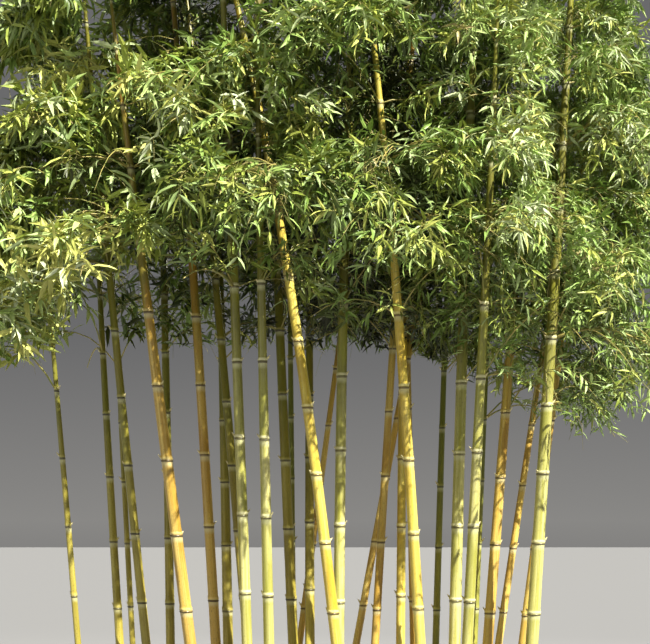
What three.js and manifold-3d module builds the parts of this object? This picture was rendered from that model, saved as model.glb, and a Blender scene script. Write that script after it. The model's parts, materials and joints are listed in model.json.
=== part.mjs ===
// Potted bamboo: a tall leafy clump of golden-stemmed bamboo that grows in a long plain trough.
// Millimetres, +Z up. The origin is the middle of the trough's flat underside, and the ground is z = 0.
// +X runs along the trough to the right, seen from the front, and +Y runs to the back.
import * as THREE from "three";
import { mergeVertices } from "three/addons/utils/BufferGeometryUtils.js";
import Module from "manifold-3d";

const wasm = await Module();
wasm.setup();

// The trough and its soil
const TROUGH_LENGTH = 2200;
const TROUGH_DEPTH = 780;
const TROUGH_HEIGHT = 560;
const TROUGH_WALL = 36;
const TROUGH_FLOOR = 50;
const TROUGH_CORNER = 45;
const CORNER_STEPS = 5;
const RIM_TALL = 70;
const RIM_PROUD = 16;
const SOIL_LEVEL = 505;
const SEAT_GAP = 0.3;

// What all culms share
const CULM_SIDES = 6;
const NOD_HEIGHT = 4600; // the nod is measured at this height above the soil
const TAPER = 0.86; // the share of its thickness that a culm has lost at its tip
const TAPER_POWER = 2.4; // a culm stays thick for most of its height, then thins quickly
const FOOT_FLARE = 1.16;
const RIDGE = 1.1; // a joint's ridge against the culm just above it
const RIDGE_TALL = 14;
const RIDGED_UP_TO = 1500; // above this height leaves hide the ridges
const FIRST_INTERNODES = [0.45, 0.65, 0.85]; // the joints crowd at the foot
const CLOSER_FROM = 0.625; // the share of a culm's height where its joints begin to come closer
const CLOSER_BY = 1.2; // how much closer they come for each share of the height above that
const LEAFY_TOP = 1250; // the length of a culm that is inside its own mass of leaves

// One row for each culm, from left to right: where its foot stands, its lean in degrees to the right and
// to the back, how far its top nods over, its thickness, its full height above the soil, the spacing of
// its joints, the height of the first joint, and its colour.
const CULMS = [
  [-940, -50, [-6.5, -3], [0, -150], 28, 2850, 300, 130, "olive"],
  [-800, 100, [-6.5, 5], [60, 200], 38, 3350, 300, 60, "olive"],
  [-645, 0, [-7, -4], [80, -200], 40, 3950, 300, 100, "olive"],
  [-610, 180, [-3, 5], [-60, 60], 42, 4300, 300, 75, "olive"],
  [-415, -180, [-8, -6], [60, -160], 52, 3450, 315, 50, "amber"],
  [-360, -50, [-4.5, 1], [-60, 0], 45, 4850, 320, 70, "amber"],
  [-350, 200, [-2.5, 6], [-60, 120], 48, 3550, 300, 40, "olive"],
  [-230, -150, [-2.5, -4], [0, -200], 46, 4450, 330, 90, "lime"],
  [-215, 50, [-6, 3], [-60, 60], 43, 4100, 300, 110, "olive"],
  [-145, -120, [-1.5, -8], [40, -160], 46, 3350, 330, 80, "lime"],
  [-40, 120, [-3, 5], [0, 120], 48, 4950, 320, 60, "olive"],
  [15, 100, [-0.5, 10], [40, 100], 45, 3700, 310, 120, "olive"],
  [135, -80, [0.5, -2], [120, -60], 48, 5150, 330, 45, "lime"],
  [190, -220, [-6.5, -2], [-330, -60], 48, 4350, 290, 90, "gold"],
  [130, 180, [11, 2], [0, 60], 35, 3450, 290, 90, "amber"],
  [270, 50, [4, 2], [40, 60], 37, 4450, 300, 60, "amber"],
  [405, 0, [1.5, 6], [60, 100], 41, 4850, 310, 100, "gold"],
  [510, -200, [-3, -5], [-170, -120], 46, 4000, 310, 70, "gold"],
  [570, 220, [3.5, 8], [60, 100], 33, 3650, 290, 60, "moss"],
  [625, -50, [2.5, -1], [60, 0], 52, 5000, 320, 70, "lime"],
  [645, -200, [3.5, -7], [-60, -160], 47, 3450, 310, 100, "lime"],
  [745, -20, [6.5, 3], [0, 100], 47, 4100, 300, 50, "amber"],
  [775, 110, [11.5, 6], [0, 160], 35, 3150, 290, 60, "amber"],
  [905, -220, [5.5, -1], [-40, -60], 54, 4300, 295, 75, "lime"],
].map(([x, y, lean, nod, thick, tall, joint, first, tone]) => {
  return { x, y, lean, nod, thick, tall, joint, first, tone };
});

// Side boughs: the culm's place in the row from the left, the height where it leaves, the way it points
// (0 is right, 90 is back), how steeply it rises, its length, and how far its end droops.
const BOUGHS = [
  { culm: 2, height: 2550, heading: 200, rise: 30, length: 480, droop: 280 },
  { culm: 2, height: 2250, heading: 190, rise: 25, length: 520, droop: 620 },
  { culm: 7, height: 2150, heading: 250, rise: 20, length: 600, droop: 320 },
  { culm: 13, height: 2300, heading: 285, rise: 30, length: 650, droop: 360 },
  { culm: 17, height: 2250, heading: 285, rise: 25, length: 650, droop: 360 },
  { culm: 23, height: 1900, heading: 345, rise: 25, length: 600, droop: 400 },
  { culm: 23, height: 2700, heading: 320, rise: 35, length: 650, droop: 300 },
  { culm: 10, height: 2250, heading: 75, rise: 20, length: 650, droop: 340 },
  { culm: 16, height: 2350, heading: 105, rise: 25, length: 650, droop: 340 },
  { culm: 1, height: 1900, heading: 110, rise: 25, length: 700, droop: 340 },
];

// The crown's outline: level sections are rounded ovals that draw in towards the top.
const CROWN_MIDDLE = 80;
const CROWN_HALF_WIDTH = 1600;
const CROWN_HALF_DEPTH = 1120;
const CROWN_LOW = 1850;
const CROWN_WIDEST = 3100;
const CROWN_HIGH = 5850;
const CROWN_DRAWN_IN = 0.45; // how much narrower the crown is at its very top
const CROWN_SQUARENESS = 2.5; // 2 would make its level sections true ovals

// Twigs and leaves. Each leaf stands for a spray of real ones, so it is larger than life.
const STEM_STEPS = 4;
const STEM_RADIUS = 15;
const STEM_TIP_RADIUS = 12;
const TWIGS_TRIED = 40;
const LEAVES_KEPT = 9;
const LEAVES_WORTH_A_TWIG = [2, 1]; // for the first half of the twigs tried, and for the rest
const TWIG_LENGTH = 340;
const TWIG_SHORTENED = [1, 0.7, 0.4]; // the lengths that a twig is tried at, to find room for its leaves
const TWIG_RADIUS = 6;
const TWIG_TIP_RADIUS = 7;
const TWIG_ANGLE = [44, 60]; // degrees between a twig and its stem
const END_TWIG_ANGLE = 8; // the first twig goes on from the stem's tip
const END_TWIG_SHARE = 0.3; // of a full twig's length
const TURN_BETWEEN_TWIGS = 137.5; // degrees round the stem
const STEP_BETWEEN_TWIGS = 0.618; // of the stem's length, wrapping round at its foot
const LEAVES_ON_TWIG = [1, 0.7, 0.35];
const LEAF_FAN = [0, 1.15, -1.15]; // how far each of them turns to the side
const LEAF_FAN_SPREAD = 0.4;
const LEAFY_SHARE = 0.9; // twigs grow on this much of a stem, from its tip down
const LEAF_LENGTH = 400;
const LEAF_SHORTENED = [1, 0.75, 0.55];
const LEAF_WIDTH = 140;
const LEAF_THICKNESS = 9;
const LEAF_BELLY = 0.36; // the widest place, as a share of the length from the root
const LEAF_SUNK = 2; // how far a leaf's root passes the middle of its twig
const LEAF_SET_BACK = 6; // from its place on the twig, so that the twig's end closes round its root
const LEAF_DROOP = [0.1, 0.9];
const LEAF_ROLL = [0.4, 1.3]; // radians either way from level, so that a blade shows from the side
const ROOT_VOLUME = 300; // mm3: a new leaf may share no more than its root with what is there
const SAMPLE_STEP = 40;
const CLEAR_OF_NEIGHBOURS = 10;
const CLEAR_OF_CULMS = 20;
const SEED_STEP = 7919; // each mass has its own stream of numbers

const TONES = {
  gold: 0xd9c04a,
  lime: 0xc9d07a,
  olive: 0x85802f,
  amber: 0xb08430,
  moss: 0x4f5a2c,
};
const MERGED_WITHIN = 1e-3;
const UP = new THREE.Vector3(0, 0, 1);

const radians = THREE.MathUtils.degToRad;

// A repeatable stream of numbers from 0 to 1: each state is the last one multiplied, stepped and wrapped.
const STATE_FACTOR = 1664525;
const STATE_STEP = 1013904223;
const STATE_WRAP = 2 ** 32;

function seeded(seed) {
  let state = seed;
  return () => {
    state = (state * STATE_FACTOR + STATE_STEP) % STATE_WRAP;
    return state / STATE_WRAP;
  };
}

function toSolid(geometry) {
  geometry.deleteAttribute("normal");
  geometry.deleteAttribute("uv");
  const merged = mergeVertices(geometry, MERGED_WITHIN);
  const triVerts = new Uint32Array(merged.index.array);
  return new wasm.Manifold(
    new wasm.Mesh({ numProp: 3, vertProperties: merged.attributes.position.array, triVerts }),
  );
}

function toGeometry(solid) {
  const mesh = solid.getMesh();
  return new THREE.BufferGeometry()
    .setAttribute("position", new THREE.BufferAttribute(mesh.vertProperties, 3))
    .setIndex(new THREE.BufferAttribute(mesh.triVerts, 1));
}

// The largest body of a fused solid: loose scraps go, and a hollow that fusing sealed is filled.
function oneBody(solid) {
  const bodies = solid.decompose();
  return bodies.reduce((best, body) => (body.volume() > best.volume() ? body : best));
}

// A block with rounded upright edges, from one height to another.
function roundedBlock(length, depth, corner, low, high) {
  const x = length / 2 - corner;
  const y = depth / 2 - corner;
  const outline = new THREE.Shape();
  outline.absarc(x, y, corner, 0, Math.PI / 2);
  outline.absarc(-x, y, corner, Math.PI / 2, Math.PI);
  outline.absarc(-x, -y, corner, Math.PI, 1.5 * Math.PI);
  outline.absarc(x, -y, corner, 1.5 * Math.PI, 2 * Math.PI);
  const block = new THREE.ExtrudeGeometry(outline, {
    depth: high - low,
    bevelEnabled: false,
    curveSegments: CORNER_STEPS,
  });
  return toSolid(block.translate(0, 0, low));
}

function makeTrough() {
  const bodyLength = TROUGH_LENGTH - 2 * RIM_PROUD;
  const bodyDepth = TROUGH_DEPTH - 2 * RIM_PROUD;
  const body = roundedBlock(bodyLength, bodyDepth, TROUGH_CORNER, 0, TROUGH_HEIGHT);
  const rimLow = TROUGH_HEIGHT - RIM_TALL;
  const rim = roundedBlock(TROUGH_LENGTH, TROUGH_DEPTH, TROUGH_CORNER + RIM_PROUD, rimLow, TROUGH_HEIGHT);
  const hollow = insideOfTrough(0, TROUGH_FLOOR, TROUGH_HEIGHT + RIM_TALL);
  return body.add(rim).subtract(hollow);
}

// The space inside the trough's walls, drawn in by a gap.
function insideOfTrough(gap, low, high) {
  const inset = RIM_PROUD + TROUGH_WALL + gap;
  const length = TROUGH_LENGTH - 2 * inset;
  const depth = TROUGH_DEPTH - 2 * inset;
  return roundedBlock(length, depth, TROUGH_CORNER - TROUGH_WALL / 2, low, high);
}

function makeSoil() {
  return insideOfTrough(SEAT_GAP, TROUGH_FLOOR + SEAT_GAP, SOIL_LEVEL);
}

// The middle of a culm at a height above the soil.
function culmCentre(culm, height) {
  const nod = (height / NOD_HEIGHT) ** 3;
  return new THREE.Vector3(
    culm.x + Math.tan(radians(culm.lean[0])) * height + culm.nod[0] * nod,
    culm.y + Math.tan(radians(culm.lean[1])) * height + culm.nod[1] * nod,
    SOIL_LEVEL + SEAT_GAP + height,
  );
}

function culmRadius(culm, height) {
  const used = Math.min(height / culm.tall, 1);
  return (culm.thick / 2) * (1 - TAPER * used ** TAPER_POWER);
}

// The heights of a culm's joints: crowded at the foot, evenly spaced, then closer towards the tip.
function jointHeights(culm) {
  const heights = [];
  let height = culm.first;
  for (let i = 0; height < culm.tall; i++) {
    heights.push(height);
    const atFoot = FIRST_INTERNODES[i] ?? 1;
    const atTop = 1 - CLOSER_BY * Math.max(0, height / culm.tall - CLOSER_FROM);
    height += culm.joint * atFoot * atTop;
  }
  return heights;
}

// A limb is a cylinder whose rings are moved to stations along a line. Each station has a centre, a
// radius, and the two directions that span its ring.
function limb(stations, sides) {
  const steps = stations.length - 1;
  const geometry = new THREE.CylinderGeometry(1, 1, 1, sides, steps);
  const position = geometry.attributes.position;
  const vertex = new THREE.Vector3();
  for (let i = 0; i < position.count; i++) {
    vertex.fromBufferAttribute(position, i);
    const station = stations[Math.round((vertex.y + 0.5) * steps)];
    const across = vertex.x * station.radius;
    const along = vertex.z * station.radius;
    vertex.copy(station.centre).addScaledVector(station.side, across).addScaledVector(station.front, along);
    position.setXYZ(i, vertex.x, vertex.y, vertex.z);
  }
  return toSolid(geometry);
}

// A culm is cut flat at the soil and at its upper end, so its rings are level.
function makeCulm(culm, grow = 0) {
  const side = new THREE.Vector3(1, 0, 0);
  const front = new THREE.Vector3(0, -1, 0);
  const enters = culm.tall - LEAFY_TOP;
  const station = (height, swell) => ({
    centre: culmCentre(culm, height),
    radius: culmRadius(culm, height) * swell + grow,
    side,
    front,
  });
  const stations = [station(0, FOOT_FLARE)];
  jointHeights(culm).forEach((height, i) => {
    if (height > enters - culm.joint / 2) return;
    if (height < RIDGED_UP_TO) stations.push(station(height, RIDGE), station(height + RIDGE_TALL, 1));
    else if (i % 2) stations.push(station(height, 1));
  });
  stations.push(station(enters, 1));
  return limb(stations, CULM_SIDES);
}

// A stem's stations follow a path, with their rings square to it.
function stationsAlong(path, reference, radius, tipRadius) {
  return path.map((centre, i) => {
    const before = path[Math.max(i - 1, 0)];
    const after = path[Math.min(i + 1, path.length - 1)];
    const direction = after.clone().sub(before).normalize();
    const side = reference.clone().cross(direction).normalize();
    const front = side.clone().cross(direction);
    const share = i / (path.length - 1);
    return { centre, radius: THREE.MathUtils.lerp(radius, tipRadius, share), side, front };
  });
}

// The stem of a mass at a culm's top goes on from the culm's flat end to its tip.
function topStem(culm, index) {
  const enters = culm.tall - LEAFY_TOP;
  const path = [];
  for (let i = 0; i <= STEM_STEPS; i++) {
    path.push(culmCentre(culm, enters + (LEAFY_TOP * i) / STEM_STEPS));
  }
  path[0].z += SEAT_GAP;
  return {
    name: `leaves_top_${String(index + 1).padStart(2, "0")}`,
    path,
    reference: new THREE.Vector3(0, 1, 0),
    levelFoot: true,
  };
}

// The stem of a side bough leaves its culm at the joint nearest to the height asked for.
function boughStem(bough, index) {
  const culm = CULMS[bough.culm];
  const height = jointHeights(culm).reduce((a, b) =>
    Math.abs(b - bough.height) < Math.abs(a - bough.height) ? b : a,
  );
  const root = culmCentre(culm, height);
  const heading = radians(bough.heading);
  const rise = radians(bough.rise);
  const level = new THREE.Vector3(Math.cos(heading), Math.sin(heading), 0);
  const path = [];
  for (let i = 0; i <= STEM_STEPS; i++) {
    const share = i / STEM_STEPS;
    const point = root.clone().addScaledVector(level, bough.length * Math.cos(rise) * share);
    point.z += bough.length * Math.sin(rise) * share - bough.droop * share ** 2;
    path.push(point);
  }
  return {
    name: `leaves_bough_${String(index + 1).padStart(2, "0")}`,
    path,
    reference: UP.clone().cross(level),
    culm,
  };
}

const STEMS = [...CULMS.map(topStem), ...BOUGHS.map(boughStem)];

const nearest = new THREE.Vector3();
const span = new THREE.Line3();

function distanceToPath(point, path) {
  let least = Infinity;
  for (let i = 1; i < path.length; i++) {
    span.set(path[i - 1], path[i]).closestPointToPoint(point, true, nearest);
    least = Math.min(least, nearest.distanceTo(point));
  }
  return least;
}

function isInCrown(point) {
  if (point.z < CROWN_LOW || point.z > CROWN_HIGH) return false;
  const risen = Math.max(0, (point.z - CROWN_WIDEST) / (CROWN_HIGH - CROWN_WIDEST));
  const swell = 1 - CROWN_DRAWN_IN * risen ** 2;
  const across = Math.abs(point.x - CROWN_MIDDLE) / (CROWN_HALF_WIDTH * swell);
  const along = Math.abs(point.y) / (CROWN_HALF_DEPTH * swell);
  return across ** CROWN_SQUARENESS + along ** CROWN_SQUARENESS < 1;
}

// A mass's space is the part of the crown that lies nearer to its own stem than to any other stem,
// clear of the culms.
function isInSpace(point, stem) {
  if (!isInCrown(point)) return false;
  const own = distanceToPath(point, stem.path) + CLEAR_OF_NEIGHBOURS;
  if (STEMS.some((other) => other !== stem && distanceToPath(point, other.path) < own)) return false;
  return CULMS.every((culm) => {
    const height = point.z - SOIL_LEVEL;
    if (height > culm.tall - LEAFY_TOP + CLEAR_OF_CULMS) return true;
    const centre = culmCentre(culm, height);
    const away = Math.hypot(point.x - centre.x, point.y - centre.y);
    return away > culmRadius(culm, height) + CLEAR_OF_CULMS;
  });
}

// Points spread over a straight twig or a leaf, close enough together to stand for all of it.
function samples(root, direction, length, across, width, start) {
  const points = [];
  for (let at = start; at <= length + 1; at += SAMPLE_STEP) {
    const along = Math.min(at, length);
    const belly = LEAF_BELLY * length;
    const share = along < belly ? along / belly : (length - along) / (length - belly);
    for (const edge of width ? [-1, 0, 1] : [0]) {
      points.push(
        root.clone().addScaledVector(direction, along).addScaledVector(across, (edge * share * width) / 2),
      );
    }
  }
  return points;
}

// A leaf is an octahedron drawn out to a blade, with its root sunk through the middle of its twig.
function makeLeaf(root, direction, across, size) {
  const geometry = new THREE.OctahedronGeometry(1, 0);
  const position = geometry.attributes.position;
  const flat = across.clone().cross(direction);
  const length = LEAF_LENGTH * size + LEAF_SUNK;
  const vertex = new THREE.Vector3();
  for (let i = 0; i < position.count; i++) {
    vertex.fromBufferAttribute(position, i);
    const share = vertex.y < -0.5 ? 0 : vertex.y > 0.5 ? 1 : LEAF_BELLY;
    const sideways = (vertex.x * LEAF_WIDTH * size) / 2;
    const upwards = (vertex.z * LEAF_THICKNESS) / 2;
    vertex
      .copy(root)
      .addScaledVector(direction, share * length - LEAF_SUNK)
      .addScaledVector(across, sideways)
      .addScaledVector(flat, upwards);
    position.setXYZ(i, vertex.x, vertex.y, vertex.z);
  }
  return toSolid(geometry);
}

// The leaves of one twig point on along it, fan out to either side, and hang a little. A leaf that
// would leave the mass's space, or cross what is there already, is skipped.
function leavesOnTwig(twig, stem, mass, random) {
  const sideways = new THREE.Vector3().crossVectors(twig.direction, UP).normalize();
  const leaves = [];
  LEAVES_ON_TWIG.forEach((share, i) => {
    const root = twig.root.clone().addScaledVector(twig.direction, twig.length * share - LEAF_SET_BACK);
    const direction = twig.direction
      .clone()
      .addScaledVector(sideways, LEAF_FAN[i] + (random() - 0.5) * LEAF_FAN_SPREAD)
      .addScaledVector(UP, -THREE.MathUtils.lerp(...LEAF_DROOP, random()))
      .normalize();
    const across = new THREE.Vector3().crossVectors(direction, UP).normalize();
    const roll = THREE.MathUtils.lerp(...LEAF_ROLL, random());
    across.applyAxisAngle(direction, random() < 0.5 ? roll : -roll);
    const size = LEAF_SHORTENED.find((shortened) => {
      const length = LEAF_LENGTH * shortened;
      const points = samples(root, direction, length, across, LEAF_WIDTH * shortened, SAMPLE_STEP);
      return points.every((point) => isInSpace(point, stem));
    });
    if (!size) return;
    const leaf = makeLeaf(root, direction, across, size);
    const others = leaves.reduce((fused, other) => fused.add(other), mass);
    if (others.intersect(leaf).volume() < ROOT_VOLUME) leaves.push(leaf);
  });
  return leaves;
}

// Twig number i of a stem, before its length is settled. The first goes on from the stem's tip.
function twigOnStem(stem, curve, i, random) {
  const isEnd = i === 0;
  const share = isEnd ? 1 : 1 - ((i * STEP_BETWEEN_TWIGS) % 1) * LEAFY_SHARE;
  const heading = curve.getTangent(share).normalize();
  const start = stem.reference.clone().cross(heading).normalize();
  const turned = start.applyAxisAngle(heading, radians(TURN_BETWEEN_TWIGS) * i + random());
  const angle = radians(isEnd ? END_TWIG_ANGLE : THREE.MathUtils.lerp(...TWIG_ANGLE, random()));
  const direction = heading.multiplyScalar(Math.cos(angle)).addScaledVector(turned, Math.sin(angle));
  const fullLength = TWIG_LENGTH * (isEnd ? END_TWIG_SHARE : 1);
  return { root: curve.getPoint(share), direction, turned, fullLength };
}

// A twig at one of the lengths that it is tried at, with the leaves that find room on it there.
function growTwig(twig, shortened, stem, mass, random) {
  twig.length = twig.fullLength * shortened;
  const points = samples(twig.root, twig.direction, twig.length, twig.turned, 0, 2 * SAMPLE_STEP);
  if (!points.every((point) => isInSpace(point, stem))) return { leaves: [] };
  const tip = twig.root.clone().addScaledVector(twig.direction, twig.length);
  const wood = limb(stationsAlong([twig.root, tip], twig.turned, TWIG_RADIUS, TWIG_TIP_RADIUS), 3);
  return { wood, leaves: leavesOnTwig(twig, stem, mass, random) };
}

// One mass of leaves: a stem, twigs that turn round it at a steady angle, and leaves on each twig.
function makeMass(stem, index) {
  const random = seeded(SEED_STEP * (index + 1));
  const stations = stationsAlong(stem.path, stem.reference, STEM_RADIUS, STEM_TIP_RADIUS);
  if (stem.levelFoot) {
    stations[0].side = new THREE.Vector3(1, 0, 0);
    stations[0].front = new THREE.Vector3(0, -1, 0);
  }
  let mass = limb(stations, 3);
  const curve = new THREE.CatmullRomCurve3(stem.path);
  let kept = 0;
  for (let i = 0; i < TWIGS_TRIED && kept < LEAVES_KEPT; i++) {
    const twig = twigOnStem(stem, curve, i, random);
    const grown = TWIG_SHORTENED.map((shortened) => growTwig(twig, shortened, stem, mass, random)).reduce(
      (best, choice) => (choice.leaves.length > best.leaves.length ? choice : best),
    );
    if (grown.leaves.length < LEAVES_WORTH_A_TWIG[i < TWIGS_TRIED / 2 ? 0 : 1]) continue;
    mass = grown.leaves.reduce((fused, leaf) => fused.add(leaf), mass.add(grown.wood));
    kept += grown.leaves.length;
  }
  if (stem.culm) mass = mass.subtract(makeCulm(stem.culm, SEAT_GAP));
  return oneBody(mass);
}

const troughMaterial = new THREE.MeshStandardMaterial({ color: 0x8d8a84, roughness: 0.85, metalness: 0 });
const soilMaterial = new THREE.MeshStandardMaterial({ color: 0x4a3828, roughness: 1, metalness: 0 });
const leafMaterial = new THREE.MeshStandardMaterial({ color: 0x7da52f, roughness: 0.55, metalness: 0 });

const bamboo = new THREE.Group();

function add(name, solid, material) {
  const mesh = new THREE.Mesh(toGeometry(solid), material);
  mesh.name = name;
  bamboo.add(mesh);
}

add("trough", makeTrough(), troughMaterial);
add("soil", makeSoil(), soilMaterial);
CULMS.forEach((culm, i) => {
  const material = new THREE.MeshStandardMaterial({ color: TONES[culm.tone], roughness: 0.4, metalness: 0 });
  add(`culm_${String(i + 1).padStart(2, "0")}_${culm.tone}`, makeCulm(culm), material);
});
STEMS.forEach((stem, i) => add(stem.name, makeMass(stem, i), leafMaterial));

export default bamboo;
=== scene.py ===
# %% [markdown]
# # A clump of golden-caned bamboo in a long trough
# This lesson dresses a measured bamboo plant: thirty canes, a crown of narrow leaves, and the plain
# trough they grow in. Its solids exist already, so the first step loads them as a fixed frame, and
# everything made here is placed from the same sizes.

# %% Load the frame
import json
import math

import bpy
import numpy as np
from mathutils import Matrix, Vector, noise

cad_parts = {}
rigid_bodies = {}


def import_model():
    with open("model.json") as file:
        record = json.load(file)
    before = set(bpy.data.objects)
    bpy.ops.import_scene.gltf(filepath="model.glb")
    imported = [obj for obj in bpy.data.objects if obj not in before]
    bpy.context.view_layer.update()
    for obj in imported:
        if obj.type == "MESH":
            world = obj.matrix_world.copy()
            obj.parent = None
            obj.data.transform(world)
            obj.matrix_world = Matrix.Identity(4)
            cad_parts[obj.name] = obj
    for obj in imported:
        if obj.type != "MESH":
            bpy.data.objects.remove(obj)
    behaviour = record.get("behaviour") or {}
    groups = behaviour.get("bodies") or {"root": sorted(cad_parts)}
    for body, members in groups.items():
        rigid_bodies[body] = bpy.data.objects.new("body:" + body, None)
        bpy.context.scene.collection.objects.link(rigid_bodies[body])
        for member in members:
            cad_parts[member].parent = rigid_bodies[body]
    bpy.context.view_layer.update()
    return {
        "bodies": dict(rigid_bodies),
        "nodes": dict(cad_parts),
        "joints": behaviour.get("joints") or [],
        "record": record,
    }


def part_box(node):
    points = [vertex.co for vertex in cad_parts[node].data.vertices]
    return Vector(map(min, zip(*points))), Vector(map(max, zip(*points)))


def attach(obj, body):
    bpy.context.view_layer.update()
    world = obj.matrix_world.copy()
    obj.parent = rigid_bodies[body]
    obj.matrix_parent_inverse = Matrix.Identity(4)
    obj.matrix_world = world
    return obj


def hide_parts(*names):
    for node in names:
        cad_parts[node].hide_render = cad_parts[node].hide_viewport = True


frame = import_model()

MM = 0.001
random = np.random.default_rng(11)
print("solids in the frame:", len(frame["nodes"]))

# %% [markdown]
# Every finish, and the sky too, is made of shader nodes. They could be added and linked one by one, but
# a finish with thirty of them would be hard to read. A small class adds them instead: most of its
# methods make one node, feed its inputs and return its output.

# %% A short way to add nodes
class Nodes:
    def __init__(self, owner):
        self.owner = owner
        owner.use_nodes = True
        self.tree = owner.node_tree

    def feed(self, node, **inputs):
        """Feeds a node's inputs, each given by its name with _ for a space."""
        for name, value in inputs.items():
            self.feed_socket(node.inputs[name.replace("_", " ")], value)
        return node

    def feed_socket(self, socket, value):
        if isinstance(value, bpy.types.NodeSocket):
            self.tree.links.new(value, socket)
        elif socket.type == "RGBA":
            socket.default_value = (*value, 1)
        else:
            socket.default_value = value

    def add(self, kind, **inputs):
        return self.feed(self.tree.nodes.new("ShaderNode" + kind), **inputs)

    def attribute(self, name):
        node = self.add("Attribute")
        node.attribute_name = name
        return node.outputs

    def place(self):
        return self.add("TexCoord").outputs["Object"]

    def noise(self, stretch, scale, detail=3, place=None):
        mapping = self.add("Mapping", Vector=place or self.place(), Scale=stretch)
        node = self.add("TexNoise", Vector=mapping.outputs["Vector"], Scale=scale, Detail=detail)
        return node.outputs["Fac"]

    def ramp(self, value, *stops):
        """Levels of grey, or colours, at places from 0 to 1."""
        node = self.add("ValToRGB", Fac=value)
        elements = node.color_ramp.elements
        while len(elements) < len(stops):
            elements.new(0.5)
        for element, (position, level) in zip(elements, stops):
            element.position = position
            element.color = (*level, 1) if isinstance(level, tuple) else (level, level, level, 1)
        return node.outputs["Color"]

    def math(self, operation, *values):
        node = self.add("Math")
        node.operation = operation
        for socket, value in zip(node.inputs, values):
            self.feed_socket(socket, value)
        return node.outputs[0]

    def mix(self, factor, *colours):
        node = self.add("Mix")
        node.data_type = "RGBA"
        # the two colours come after the numbers and the vectors
        for socket, value in zip((node.inputs["Factor"], *node.inputs[6:8]), (factor, *colours)):
            self.feed_socket(socket, value)
        return node.outputs[2]

    def tint(self, colour, other, pattern, strength):
        """The colour, with the other one laid over it where the pattern is."""
        return self.mix(self.math("MULTIPLY", pattern, strength), colour, other)

    def bump(self, height, strength, distance):
        return self.add("Bump", Height=height, Strength=strength, Distance=distance).outputs["Normal"]

    def finish(self, **inputs):
        """Feeds a material's shader, and returns the material."""
        self.feed(self.tree.nodes["Principled BSDF"], **inputs)
        return self.owner


def nodes_for(material_name):
    return Nodes(bpy.data.materials.new(material_name))


def plain_material(name, colour, roughness):
    return nodes_for(name).finish(Base_Color=colour, Roughness=roughness)


def paint(piece, *materials):
    for material in materials:
        piece.data.materials.append(material)


print("methods:", ", ".join(name for name in vars(Nodes) if name[0] != "_"))

# %% [markdown]
# The floor is large and pale. The camera stands where the plant is looked at from: five metres in front
# of it, at the height of a person's eyes, tipped up a little. The lens is longer than a normal one, so
# the picture holds the upper canes and the lower crown.

# %% Floor and camera
FLOOR_HALF = 60.0
EYE = (0.08, -5.06, 1.55)
TIPPED_UP = 10.2
LENS = 61.0


def new_mesh(name, add, scale=(1, 1, 1), **how):
    """Adds a simple mesh, and makes its place and scale its own."""
    add(**how)
    piece = bpy.context.object
    piece.name = name
    piece.scale = scale
    bpy.ops.object.transform_apply()
    return piece


floor = new_mesh("floor", bpy.ops.mesh.primitive_plane_add, size=2 * FLOOR_HALF)
paint(floor, plain_material("pale_floor", (0.21, 0.211, 0.213), 0.9))

bpy.ops.object.camera_add(location=EYE, rotation=(math.radians(90 + TIPPED_UP), 0, 0))
camera = bpy.context.object
camera.data.lens = LENS
camera.data.sensor_width = 36
camera.data.clip_end = 200
bpy.context.scene.camera = camera
print("camera", EYE)

# %% [markdown]
# Bamboo is seen best in light from one side: the canes show their roundness, and the crown throws
# flecks of shade on them. Soft light alone would leave both flat, so a lamp as even as the sun stands
# high in front on the right. A weak broad lamp on the left fills the shade, one behind edges the
# leaves, and the sky gives the rest.

# %% Studio light
SUN_FROM = Vector((0.56, -0.64, 0.82))
SUN_SIZE = math.radians(0.6)
SOFT_LAMPS = {
    # name: place, size, power in watts, colour
    "fill": ((-6.5, -5.5, 3.5), 5.0, 70, (1.0, 0.95, 0.84)),
    "rim": ((1.0, 7.5, 6.5), 4.0, 420, (1.0, 0.97, 0.9)),
}
LOOKS_AT = Vector((0.0, 0.0, 2.7))


def add_lamp(name, kind, place, direction, power, colour):
    rotation = direction.to_track_quat("-Z", "Y").to_euler()
    bpy.ops.object.light_add(type=kind, location=place, rotation=rotation)
    lamp = bpy.context.object
    lamp.name = name
    lamp.data.energy = power
    lamp.data.color = colour
    return lamp.data


add_lamp("Sun", "SUN", SUN_FROM * 10, -SUN_FROM, 11, (1.0, 0.97, 0.90)).angle = SUN_SIZE
for name, (place, size, power, colour) in SOFT_LAMPS.items():
    add_lamp(name, "AREA", place, LOOKS_AT - Vector(place), power, colour).size = size

SKY_COLOURS = {0.45: (0.15, 0.15, 0.15), 0.5: (0.25, 0.245, 0.235), 0.58: (0.145, 0.145, 0.147)}


def make_sky():
    """An even grey, a little lighter round the horizon. The colours' keys run from below to above."""
    nodes = Nodes(bpy.data.worlds.new("studio_sky"))
    split = nodes.add("SeparateXYZ", Vector=nodes.add("TexCoord").outputs["Generated"])
    upward = nodes.add("MapRange", Value=split.outputs["Z"], From_Min=-1).outputs["Result"]
    nodes.feed(nodes.tree.nodes["Background"], Color=nodes.ramp(upward, *SKY_COLOURS.items()))
    return nodes.owner


bpy.context.scene.world = make_sky()
bpy.context.scene.view_settings.view_transform = "Standard"

# %% [markdown]
# Every cane is one row of numbers: where its foot stands, how it leans and nods, how thick and tall it
# is, and where its joints come. They are the measured sizes of the solids, in millimetres, because each
# cane has to stand where its solid does. The six slender canes at the end have no solid of their own.

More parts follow.
